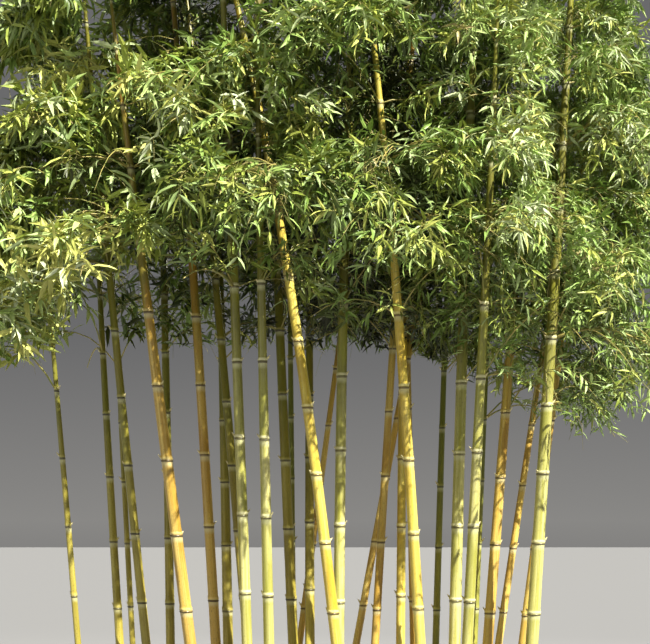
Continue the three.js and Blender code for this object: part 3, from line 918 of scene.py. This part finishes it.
def model_leaf():
    add_circle = bpy.ops.mesh.primitive_circle_add
    leaf = new_mesh("leaf", add_circle, vertices=6, radius=0.5, fill_type="TRIFAN", location=(0, 0.5, 0))
    near, far = np.subtract(LEAF_SIDES_AT, CIRCLE_SIDES_AT)
    select(leaf, "VERT", lambda place: abs(place.x) > 0.1 and place.y < 0.5)
    bpy.ops.transform.translate(value=(0, near, LEAF_CREASE))
    widen(TO_FULL_WIDTH, 1)
    select(leaf, "VERT", lambda place: abs(place.x) > 0.1 and place.y > 0.5)
    bpy.ops.transform.translate(value=(0, far, LEAF_CREASE - 0.3 * LEAF_TIP_DOWN))
    widen(TO_FULL_WIDTH * LEAF_DRAWN_IN, 1)
    select(leaf, "VERT", lambda place: place.y > 0.99)
    bpy.ops.transform.translate(value=(0, 0, -LEAF_TIP_DOWN))
    leave_edit()
    return leaf


leaf_model = model_leaf()
print("one leaf has", len(leaf_model.data.polygons), "faces")

# %% [markdown]
# Leaves sit along a twig and spread in a fan at its tip. Each points away from its twig. Leaves that
# all lay alike would look combed, so some droop and others rise, and they roll to either side. They are
# long and broad on the shaded left, and small and fine on the sunny right.

# %% Place the leaves
LEAVES_ON_TWIG = (
    # share of the twig, turned off to the side in radians
    (0.20, -1.2), (0.36, 1.2), (0.50, -1.1), (0.64, 1.1), (0.78, -1.0),
    (0.88, 0.95), (0.96, -0.8), (1.0, 0.5), (1.0, -0.1),
)
LEAF_LENGTHS = ([-1.4, -0.5, 0.5, 1.4], [0.112, 0.091, 0.074, 0.068])  # places across, and lengths there
LEAF_SLENDERNESS = ([-1.4, -0.5, 0.5, 1.4], [0.195, 0.185, 0.170, 0.165])
LEAF_HANG = (-0.70, 0.70)
FAN_SPREAD = 0.35
LEAF_SCATTER = 0.46
LEAF_ROLL = 0.7
LEAF_LENGTH_SPREAD = (0.65, 1.25)
LEAF_WIDTH_SPREAD = (0.8, 1.15)
CLEAR_OF_CANE = 0.008


def leaf_places():
    shares, fans = np.array(LEAVES_ON_TWIG).T
    count = (len(twigs), len(shares))
    root, ahead = along(twigs, np.tile(shares, (len(twigs), 1)))
    direction = turned(ahead, sideways_of(ahead), fans + random.uniform(-FAN_SPREAD, FAN_SPREAD, count))
    direction = normalized(direction + random.normal(0, LEAF_SCATTER, (*count, 3)))
    hang = random.uniform(*LEAF_HANG, count)
    direction = normalized(direction + GRAVITY * hang[..., None])
    across = sideways_of(direction)
    across = turned(across, np.cross(across, direction), random.normal(0, LEAF_ROLL, count))
    face = np.cross(across, direction)
    length = np.interp(root[..., 0], *LEAF_LENGTHS) * random.uniform(*LEAF_LENGTH_SPREAD, count)
    width = length * np.interp(root[..., 0], *LEAF_SLENDERNESS)
    width *= random.uniform(*LEAF_WIDTH_SPREAD, count)
    sizes = np.stack([width, length, length], axis=-1)
    frames = np.stack([across, direction, face], axis=-1)
    return root.reshape(-1, 3), frames.reshape(-1, 3, 3), sizes.reshape(-1, 3)


def clear_of_canes(points):
    clear = np.ones(len(points), bool)
    for cane in canes + slender:
        height = points[:, 2] - FEET_AT
        centre = cane.centre(np.clip(height, 0, cane.tall))
        away = np.linalg.norm(points[:, :2] - centre[:, :2], axis=1)
        clear &= (height > cane.tall) | (away > cane.radius(height) + CLEAR_OF_CANE)
    return clear


leaf_roots, leaf_frames, leaf_sizes = leaf_places()
leaf_tips = leaf_roots + leaf_frames[:, :, 1] * leaf_sizes[:, 1:2]
kept = (crown_room(leaf_tips) < 1.0) & (crown_room(leaf_roots) < 1.0)
kept &= clear_of_canes((leaf_roots + leaf_tips) / 2) & clear_of_canes(leaf_tips)
leaf_twig = np.repeat(np.arange(len(twigs)), len(LEAVES_ON_TWIG))
print("leaves:", kept.sum(), "of", len(kept))

# %% [markdown]
# Some bright canes stay in sight far up into the crown, because few leaves hang in front of them. Such
# leaves could be deleted by hand, but then again after each change, so a rule does it: a leaf that
# would hide such a cane from the eye is mostly left out, and so is one that would shade it from the
# sun.

# %% Canes that stay in sight
IN_SIGHT = {
    # the number in the cane's name: lowest and highest level in sight, share of leaves left out
    14: (2.2, 4.07, 0.85), 18: (2.2, 2.85, 0.6), 20: (2.2, 3.6, 0.2),
    21: (2.2, 2.9, 0.6), 24: (2.0, 4.07, 0.92),
}
OPEN_BESIDE = 0.02


def carried_back(points, depth, by_the_sun):
    """The points moved along the sun's rays, or the eye's, to upright planes at the given depths."""
    rays = np.tile(-SUN_FROM, (len(points), 1)) if by_the_sun else points - np.array(EYE)
    return points + rays * ((depth - points[:, 1]) / rays[:, 1])[:, None]


def hides_a_cane(points):
    """The share to leave out of the leaves at each point."""
    hidden = np.zeros(len(points))
    for number, (low, high, share) in IN_SIGHT.items():
        cane = canes[number - 1]
        for by_the_sun in (False, True):
            fallen = points
            for _ in range(2):
                centre = cane.centre(fallen[:, 2] - FEET_AT)
                fallen = carried_back(points, centre[:, 1], by_the_sun)
            beside = np.abs(fallen[:, 0] - centre[:, 0]) < cane.radius_at_foot + OPEN_BESIDE
            crosses = beside & (points[:, 1] < centre[:, 1])
            crosses &= (fallen[:, 2] > low) & (fallen[:, 2] < high)
            hidden = np.where(crosses, share, hidden)
    return hidden


kept &= random.random(len(kept)) > hides_a_cane((leaf_roots + leaf_tips) / 2)
print("leaves kept:", kept.sum())

# %% [markdown]
# The crown frays out at its lower edge, and on the left it is so thin low down that the canes show
# through. It also has openings a hand or two wide, in which its dark inside shows: a few lie where the
# eye looks for them, and smooth noise places the rest. Leaves left out evenly would only thin the
# crown, and noise leaves them out in patches. One opening lets the sun through to the low bough on the
# left. A branch that kept hardly a leaf is left out too, unless it carries other branches.

# %% Frayed edge and openings
FRAY = 0.16
FRAYED_AWAY = 0.75
THIN_UP_TO = -0.05
THIN_BELOW = 2.95
THIN_BEHIND = ([-1.2, -1.0], [-0.10, -0.55])  # places across, and the depths there
THINNED = 0.6
GAPS_A_METRE = 3.3
GAP_DEPTHS = ([-0.2, 0.9], [2.6, 1.6])  # places across, and how wide the openings grow there
OPENINGS = [
    # middle across and up as the eye sees it on the plane of the canes, half width, half height
    (-1.18, 3.01, 0.36, 0.12), (-0.72, 3.98, 0.40, 0.20), (-0.31, 3.22, 0.11, 0.22),
    (0.02, 3.72, 0.12, 0.16), (0.42, 3.30, 0.10, 0.12), (0.52, 2.95, 0.13, 0.10),
]
OPENED = 0.9
OPEN_TO_DEPTH = 0.25
SUNLIT_BOUGH = (-1.22, 2.46, 0.40, 0.38)  # an oval as above, round the bough itself
SUNLIT_DEPTH = -0.25
CLEAR_IN_FRONT = 0.16


def left_out_low(points):
    above = points[:, 2] - crown_floor(points)
    share = FRAYED_AWAY * np.exp(-np.maximum(above, 0) / FRAY)
    thin = (points[:, 0] < THIN_UP_TO) & (points[:, 2] < THIN_BELOW)
    thin &= points[:, 1] > np.interp(points[:, 0], *THIN_BEHIND)
    return np.maximum(share, THINNED * thin)


def in_oval(points, oval):
    middle_across, middle_up, half_width, half_height = oval
    across = (points[:, 0] - middle_across) / half_width
    up = (points[:, 2] - middle_up) / half_height
    return across**2 + up**2 < 1


def seen_in(points, oval):
    """Whether the eye sees each point inside an oval, given on the plane of the canes."""
    return in_oval(carried_back(points, 0.0, by_the_sun=False), oval)


def smooth_noise(points, waves):
    return np.array([noise.noise(Vector(point * waves)) for point in points])


def left_out_in_openings(points):
    share = -smooth_noise(points, GAPS_A_METRE)
    share *= np.interp(points[:, 0], *GAP_DEPTHS)
    for oval in OPENINGS:
        share = np.where(seen_in(points, oval) & (points[:, 1] < OPEN_TO_DEPTH), OPENED, share)
    shades = in_oval(carried_back(points, SUNLIT_DEPTH, by_the_sun=True), SUNLIT_BOUGH)
    shades &= points[:, 1] < SUNLIT_DEPTH - CLEAR_IN_FRONT
    return np.where(shades, OPENED, share)


twig_tips = twigs[:, -1]
left_out = np.maximum(left_out_low(twig_tips), left_out_in_openings(twig_tips))
twig_left_out = random.random(len(twigs)) < left_out
kept &= ~twig_left_out[leaf_twig]

LEAFY_ENOUGH = 0.12
leafy = kept.reshape(len(branches), -1).mean(axis=1) > LEAFY_ENOUGH
leafy |= carries
kept &= leafy[twig_branch[leaf_twig]]
print("leaves after fraying:", kept.sum(), "branches left out:", (~leafy).sum())

# %% [markdown]
# Leaves differ by spray. Their lightness is painted light and shade: each tint is a lit or shaded copy
# of one leaf colour, bright yellow-green for leaves in the sun and deep green for those in the shade
# inside the crown, and now and then a spray is dry and straw-coloured. Noise in one material would
# change the colour halfway along a leaf, so each tint is a material, and they are dealt out twig by
# twig: the further out in the crown and the nearer the sun, the brighter, with patches a few hands
# wide. Each lightness comes in three hues, so that sprays side by side differ, and the crown is greener
# to the right.

# %% Leaf tints
# each lightness is a lit or shaded copy of one leaf colour: painted light and shade
LEAF_LIT_AND_SHADED_TINTS = {
    "darkest": (0.020, 0.027, 0.005), "deep": (0.046, 0.062, 0.010),
    "shade": (0.091, 0.125, 0.019), "green": (0.152, 0.210, 0.036),
    "fresh": (0.235, 0.315, 0.072), "bright": (0.330, 0.405, 0.115),
    "sunlit": (0.420, 0.480, 0.170), "yellow": (0.500, 0.550, 0.225),
}
LEAF_HUES = {
    # the same lightness a little yellower, paler or greener: how much red, green and blue
    "lime": (1.08, 1.0, 0.66),
    "pale": (0.98, 1.0, 1.42),
    "green": (0.87, 1.0, 0.85),
}
HUES_CHANGE_AT = (0.38, 0.62)
GREENER_RIGHTWARDS = 0.12
STRAW = (0.460, 0.390, 0.170)
CROWN_CENTRE = (CROWN_MIDDLE, 0, 3.6)
CROWN_HALF_SIZES = (CROWN_HALF_WIDTH, CROWN_HALF_DEPTH, 2.2)
# painted light and shade of the leaves: darker inside the crown, lighter outwards and towards the sun
LIGHT_INSIDE = 1.2
LIGHTER_OUTWARDS = 3.8
LIGHTER_TOWARDS_SUN = 0.9
LIGHTER_IN_PATCHES = 2.8
LIGHT_SPREAD = (0.6, 0.7)  # from branch to branch, and from twig to twig
PATCH = 2.6
STRAW_SHARE = 0.004
LEAF_ROUGHNESS = 0.5
PAINTED_SUN_AND_SHADE_PLACES = [
    # middle across and up as the eye sees it on the plane of the canes, half width, half height,
    # and how many steps of lightness the leaves there gain or lose, as painted sun or painted shade
    ((-1.10, 2.62, 0.36, 0.34), 1.2), ((-1.05, 2.66, 0.30, 0.24), 1.0),
    ((-1.30, 2.42, 0.34, 0.22), 1.5), ((-0.95, 3.50, 0.45, 0.24), 1.3),
    ((-0.32, 3.62, 0.22, 0.16), 1.3), ((0.06, 3.46, 0.17, 0.24), 1.0),
    ((0.95, 3.95, 0.30, 0.18), 1.3), ((1.15, 3.37, 0.24, 0.13), 1.3),
    ((0.36, 3.10, 0.30, 0.26), -1.1), ((1.05, 3.10, 0.62, 1.10), 0.5),
]


def deal_painted_light_tints():
    tips = twigs[:, -1]
    to_sun = (tips - np.array(CROWN_CENTRE)) / CROWN_HALF_SIZES @ np.array(SUN_FROM.normalized())
    # painted light and shade: brighter at the crown's outside and on its side towards the sun
    level = LIGHT_INSIDE + LIGHTER_OUTWARDS * np.clip(crown_room(tips), 0, 1) ** 1.5
    level += LIGHTER_TOWARDS_SUN * to_sun
    patch = LIGHTER_IN_PATCHES * smooth_noise(branches.mean(axis=1), PATCH)
    level += (patch + random.normal(0, LIGHT_SPREAD[0], len(branches)))[twig_branch]
    level += random.normal(0, LIGHT_SPREAD[1], len(twigs))
    # painted sun and painted shade in the places listed above
    for oval, gained in PAINTED_SUN_AND_SHADE_PLACES:
        level += gained * (seen_in(tips, oval) & (tips[:, 1] < 0))
    lightness = np.clip(np.round(level), 0, len(LEAF_LIT_AND_SHADED_TINTS) - 1).astype(int)
    hues = np.digitize(random.random(len(twigs)) + GREENER_RIGHTWARDS * tips[:, 0], HUES_CHANGE_AT)
    tints = lightness * len(LEAF_HUES) + hues
    tints[random.random(len(twigs)) < STRAW_SHARE] = len(LEAF_LIT_AND_SHADED_TINTS) * len(LEAF_HUES)
    return tints


leaf_finish = []
for lightness, colour in LEAF_LIT_AND_SHADED_TINTS.items():
    for hue, parts in LEAF_HUES.items():
        tint = tuple(np.multiply(colour, parts))
        leaf_finish.append(plain_material(f"leaf_{lightness}_{hue}", tint, LEAF_ROUGHNESS))
leaf_finish.append(plain_material("leaf_straw", STRAW, LEAF_ROUGHNESS))
twig_tint = deal_painted_light_tints()
print("twigs of each tint:", np.bincount(twig_tint))

# %% [markdown]
# The solids hold one mass of leaves for each cane's top and each side bough, so the leaves are joined
# the same way: each goes to the mass whose stem is nearest to its branch. One mesh of all the leaves
# would be too heavy, so the masses are taken in groups, which keeps every mesh well under two hundred
# thousand triangles.

# %% Join the leaves
GROUPS = 8
STEM_STEPS = 5


def stem_points():
    points = []
    for cane in canes:
        points.append(cane.centre(np.linspace(cane.tall - LEAFY_TOP * MM, cane.tall, STEM_STEPS)))
    for row in BOUGHS:
        points.append(bough_path(*row, STEM_STEPS))
    return np.array(points)


mass_names = [f"leaves_top_{i:02d}" for i in range(1, len(canes) + 1)]
mass_names += [f"leaves_bough_{i:02d}" for i in range(1, len(BOUGHS) + 1)]
stems = stem_points()
apart = np.linalg.norm(branches.mean(axis=1)[:, None, None] - stems[None], axis=-1)
branch_mass = apart.min(axis=2).argmin(axis=1)
mass_order = np.argsort(stems[:, :, 0].mean(axis=1))
mass_group = np.empty(len(stems), int)
mass_group[mass_order] = np.arange(len(stems)) * GROUPS // len(stems)
leaf_group = mass_group[branch_mass[twig_branch[leaf_twig]]]

for group in range(GROUPS):
    mine = kept & (leaf_group == group)
    placed = [leaf_roots[mine], leaf_frames[mine], leaf_sizes[mine], twig_tint[leaf_twig[mine]]]
    piece = joined_copies(f"leaves_{group + 1}", leaf_model, *placed)
    paint(piece, *leaf_finish)
    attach(piece, "root")
    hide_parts(*[mass_names[i] for i in np.flatnonzero(mass_group == group)])
    print(piece.name, "leaves:", mine.sum())

# %% [markdown]
# Branches and twigs are thin tapering tubes. They could be curves with a round bevel, but so many of
# them take long to turn into a mesh, so rings with few sides are worked out in arrays from the same
# paths. Their skin is straw-coloured to green, like a young cane.

# %% Branches and twigs
BRANCH_TIP, TWIG_TIP = 0.35, 0.5  # a tip's thickness against its root's


def tubes(name, paths, roots, tips, sides):
    """One mesh of many closed tapering tubes, along paths of equal length."""
    count, steps, _ = paths.shape
    ahead = normalized(np.gradient(paths, axis=1) + 1e-9)
    side = sideways_of(ahead)
    over = np.cross(ahead, side)
    turn = np.linspace(0, 2 * math.pi, sides, endpoint=False)
    ring = side[:, :, None] * np.cos(turn)[:, None] + over[:, :, None] * np.sin(turn)[:, None]
    taper = np.linspace(0, 1, steps)
    radius = roots[:, None] * (1 - taper) + tips[:, None] * taper
    vertices = paths[:, :, None] + ring * radius[..., None, None]
    first = (np.arange(count) * steps * sides)[:, None, None]
    step = (np.arange(steps - 1) * sides)[:, None]
    here, after = np.arange(sides), (np.arange(sides) + 1) % sides
    low, high = first + step, first + step + sides
    quads = np.stack([low + here, low + after, high + after, high + here], axis=-1)
    root_ends = first[:, 0] + here[::-1]
    tip_ends = first[:, 0] + (steps - 1) * sides + here
    faces = quads.reshape(-1, 4).tolist() + root_ends.tolist() + tip_ends.tolist()
    mesh = bpy.data.meshes.new(name)
    mesh.from_pydata(vertices.reshape(-1, 3).tolist(), [], faces)
    mesh.shade_smooth()
    return object_of(mesh)


def twig_material(name, colour, other):
    nodes = nodes_for(name)
    patch = nodes.ramp(nodes.noise((1, 1, 1), 14), (0.4, 0), (0.62, 1))
    return nodes.finish(Base_Color=nodes.mix(patch, colour, other), Roughness=0.5)


branch_piece = tubes("branches", branches[leafy], girths[leafy], girths[leafy] * BRANCH_TIP, 5)
paint(branch_piece, twig_material("branch_skin", (0.42, 0.35, 0.10), (0.20, 0.22, 0.05)))
twig_skin = twig_material("twig_skin", (0.42, 0.36, 0.12), (0.18, 0.22, 0.04))
bears_leaves = kept.reshape(len(twigs), -1).any(axis=1)
on_left = twigs[:, 0, 0] < CROWN_MIDDLE
wood_pieces = [branch_piece]
for name, wanted in {"twigs_left": on_left, "twigs_right": ~on_left}.items():
    shown = twigs[wanted & bears_leaves]
    thick = np.full(len(shown), TWIG_RADIUS)
    wood_pieces.append(tubes(name, shown, thick, thick * TWIG_TIP, 3))
    paint(wood_pieces[-1], twig_skin)
for piece in wood_pieces:
    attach(piece, "root")
    print(piece.name, "faces:", len(piece.data.polygons))

# %% [markdown]
# The trough is cast in fibre-cement: a long box with rounded corners, a thick rim and a flat underside.
# A smaller box could be cut out of a larger one, but a cut leaves edges that are hard to round. So a
# cube's top is inset by the wall's thickness and pushed down to the floor, and the band under the top
# edge is pushed out as a rim. Then the upright corners are bevelled round, and every edge is softened.

# %% The trough
TROUGH = np.array((2.200, 0.780, 0.560))
TROUGH_WALL = 0.036
TROUGH_FLOOR = 0.050
OUTER_CORNER, INNER_CORNER = 0.045, 0.020
RIM_TALL = 0.070
RIM_PROUD = 0.016
SOFT_EDGE = 0.004
BODY_HALF = TROUGH / 2 - RIM_PROUD
NEAR = 0.001


def is_top(*corners):
    return all(corner.z > TROUGH[2] - NEAR for corner in corners)


def is_rim(*corners):
    """The band of the outer wall under the top edge."""
    outside = [(np.abs(corner.xy) > BODY_HALF[:2] - NEAR).any() for corner in corners]
    return all(outside) and all(corner.z > TROUGH[2] - RIM_TALL - NEAR for corner in corners)


def is_outer_corner(a, b):
    """An edge that goes up the trough's outer corner, or steps out there to the rim."""
    outside = [(np.abs(end.xy) > BODY_HALF[:2] - NEAR).all() for end in (a, b)]
    return all(outside) and (a - b).xy.length < 2 * RIM_PROUD


def is_inner_corner(a, b):
    inside = (np.abs(a.xy) < BODY_HALF[:2] - TROUGH_WALL + NEAR).all()
    return inside and (a - b).xy.length < NEAR


def model_trough():
    size = (2 * BODY_HALF[0], 2 * BODY_HALF[1], TROUGH[2])
    add_cube = bpy.ops.mesh.primitive_cube_add
    trough = new_mesh("trough_shell", add_cube, scale=size, size=1, location=(0, 0, TROUGH[2] / 2))
    edit_all()
    bpy.ops.mesh.bisect(plane_co=(0, 0, TROUGH[2] - RIM_TALL), plane_no=(0, 0, 1))
    select(trough, "FACE", is_top)
    bpy.ops.mesh.inset(thickness=TROUGH_WALL)
    extrude_up(TROUGH_FLOOR - TROUGH[2])
    select(trough, "FACE", is_rim)
    bpy.ops.mesh.extrude_region_shrink_fatten(
        TRANSFORM_OT_shrink_fatten={"value": RIM_PROUD, "use_even_offset": True}
    )
    select(trough, "EDGE", is_outer_corner)
    bpy.ops.mesh.bevel(offset=OUTER_CORNER, segments=6)
    select(trough, "EDGE", is_inner_corner)
    bpy.ops.mesh.bevel(offset=INNER_CORNER, segments=4)
    leave_edit()
    soften = trough.modifiers.new("Soft edges", "BEVEL")
    soften.width = SOFT_EDGE
    soften.segments = 3
    soften.limit_method = "ANGLE"
    soften.angle_limit = math.radians(40)
    bpy.ops.object.modifier_apply(modifier=soften.name)
    bpy.ops.object.shade_smooth_by_angle(angle=math.radians(35))
    return trough


def cement_material():
    nodes = nodes_for("fibre_cement")
    cloud = nodes.ramp(nodes.noise((1, 1, 1), 3.2, 6), (0.35, 0), (0.68, 1))
    run = nodes.ramp(nodes.noise((1, 1, 0.08), 9, 4), (0.50, 0), (0.75, 1))
    grain = nodes.noise((1, 1, 1), 240, 2)
    colour = nodes.mix(cloud, (0.17, 0.165, 0.155), (0.24, 0.235, 0.22))
    colour = nodes.tint(colour, (0.11, 0.105, 0.09), run, 0.45)
    return nodes.finish(Base_Color=colour, Roughness=0.85, Normal=nodes.bump(grain, 0.25, 0.0012))


trough = model_trough()
paint(trough, cement_material())
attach(trough, "root")
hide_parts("trough")
print("trough faces:", len(trough.data.polygons))

# %% [markdown]
# The soil is a low uneven bed. Bump in its finish alone would leave its edge straight, so its lumps are
# modelled: a grid is laid inside the walls and extruded down to the trough's floor, and smooth noise
# raises and lowers its top. It swells a little round each cane.

# %% The soil
SOIL_LOW, SOIL_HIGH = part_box("soil")
SOIL_CELLS = (150, 48)
SOIL_GAP = 0.002
SOIL_SUNK = 0.006
LUMPS = (9, 31)  # large and small ones a metre
SMALL_LUMPS = 0.6  # as high as that against the large ones
LUMP_HEIGHT = 0.007
HEAPED = 0.010
HEAP_REACH = 0.05


def soil_height(x, y):
    large, small = (Vector((x * waves, y * waves, z)) for waves, z in zip(LUMPS, (0.3, 1.7)))
    rough = noise.noise(large) + SMALL_LUMPS * noise.noise(small)
    near = min(math.hypot(x - c.foot[0], y - c.foot[1]) for c in canes + slender)
    return SOIL_HIGH.z - SOIL_SUNK + LUMP_HEIGHT * rough + HEAPED * math.exp(-near / HEAP_REACH)


def model_soil():
    size = SOIL_HIGH - SOIL_LOW
    cells = {"x_subdivisions": SOIL_CELLS[0], "y_subdivisions": SOIL_CELLS[1]}
    level = {"scale": (size.x - SOIL_GAP, size.y - SOIL_GAP, 1), "location": (0, 0, SOIL_HIGH.z)}
    soil = new_mesh("soil_bed", bpy.ops.mesh.primitive_grid_add, size=1, **cells, **level)
    edit_all()
    extrude_up(-size.z)
    edit_all()
    bpy.ops.mesh.normals_make_consistent(inside=False)
    leave_edit()
    for vertex in soil.data.vertices:
        if vertex.co.z > SOIL_HIGH.z - 0.01:
            vertex.co.z = soil_height(vertex.co.x, vertex.co.y)
    soil.data.shade_smooth()
    return soil


def soil_material():
    nodes = nodes_for("potting_soil")
    crumb = nodes.noise((1, 1, 1), 130, 8)
    colour = nodes.mix(nodes.ramp(crumb, (0.35, 0), (0.65, 1)), (0.018, 0.011, 0.006), (0.075, 0.045, 0.022))
    return nodes.finish(Base_Color=colour, Roughness=0.95, Normal=nodes.bump(crumb, 0.8, 0.006))


soil = model_soil()
paint(soil, soil_material())
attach(soil, "root")
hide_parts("soil")
print("soil faces:", len(soil.data.polygons))

# %% [markdown]
# Flakes of bark cover the bed, and dry leaves have fallen on them. A flake is a flattened cube with cut
# edges and a drawn-in top. A particle system could strew them, but plain copies at random places are
# easier to keep clear of the canes' feet.

# %% Bark and fallen leaves
BARK_FLAKES = 1500
FALLEN_LEAVES = 320
CLEAR_OF_WALL = 0.03
CLEAR_OF_FOOT = 0.05
BARK_COLOURS = {
    "bark_dark": (0.060, 0.030, 0.015),
    "bark_brown": (0.130, 0.068, 0.034),
    "bark_grey": (0.180, 0.130, 0.090),
}
DRY_LEAF_COLOURS = {"dry_straw": (0.380, 0.290, 0.130), "dry_tan": (0.240, 0.160, 0.070)}


def model_flake():
    flake = new_mesh("flake", bpy.ops.mesh.primitive_cube_add, scale=(0.55, 1, 0.22), size=1)
    select(flake, "VERT", lambda place: place.z > 0)
    widen(0.75, 0.8, about=(0.05, 0.1, 0))
    edit_all()
    bpy.ops.mesh.bevel(offset=0.05, segments=1)
    leave_edit()
    return flake


def lying_places(count, lift):
    """Places on the bed between the walls and clear of the canes."""
    half = np.array((SOIL_HIGH.x, SOIL_HIGH.y)) - CLEAR_OF_WALL
    level = random.uniform(-half, half, (count, 2))
    feet = np.array([cane.foot for cane in canes + slender])
    away = np.linalg.norm(level[:, None] - feet[None], axis=-1).min(axis=1)
    level = level[away > CLEAR_OF_FOOT]
    heights = [soil_height(x, y) for x, y in level]
    return np.column_stack([level, np.array(heights) + lift])


def lying_frames(count, tilt):
    """Directions of things that lie about, turned any way and tilted a little."""
    up = normalized(np.column_stack([random.normal(0, tilt, (count, 2)), np.ones(count)]))
    turn = random.uniform(0, 2 * math.pi, count)
    ahead = np.column_stack([np.cos(turn), np.sin(turn), np.zeros(count)])
    side = normalized(np.cross(ahead, up))
    return np.stack([side, np.cross(up, side), up], axis=-1)


def scatter(name, template, count, lift, tilt, lengths, materials):
    places = lying_places(count, lift)
    frames = lying_frames(len(places), tilt)
    size = random.uniform(*lengths, (len(places), 1)) * np.ones(3)
    tints = random.integers(0, len(materials), len(places))
    piece = joined_copies(name, template, places, frames, size, tints)
    paint(piece, *materials)
    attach(piece, "root")
    print(name, "faces:", len(piece.data.polygons))


flake_model = model_flake()
bark_finish = [plain_material(name, colour, 0.9) for name, colour in BARK_COLOURS.items()]
dry_finish = [plain_material(name, colour, 0.7) for name, colour in DRY_LEAF_COLOURS.items()]
scatter("bark_flakes", flake_model, BARK_FLAKES, 0.003, 0.25, (0.018, 0.045), bark_finish)
leaf_model.data.transform(Matrix.Diagonal((0.18, 1, 0.5, 1)))
scatter("fallen_leaves", leaf_model, FALLEN_LEAVES, 0.008, 0.2, (0.06, 0.10), dry_finish)
bpy.data.objects.remove(flake_model)
bpy.data.objects.remove(leaf_model)

# %% [markdown]
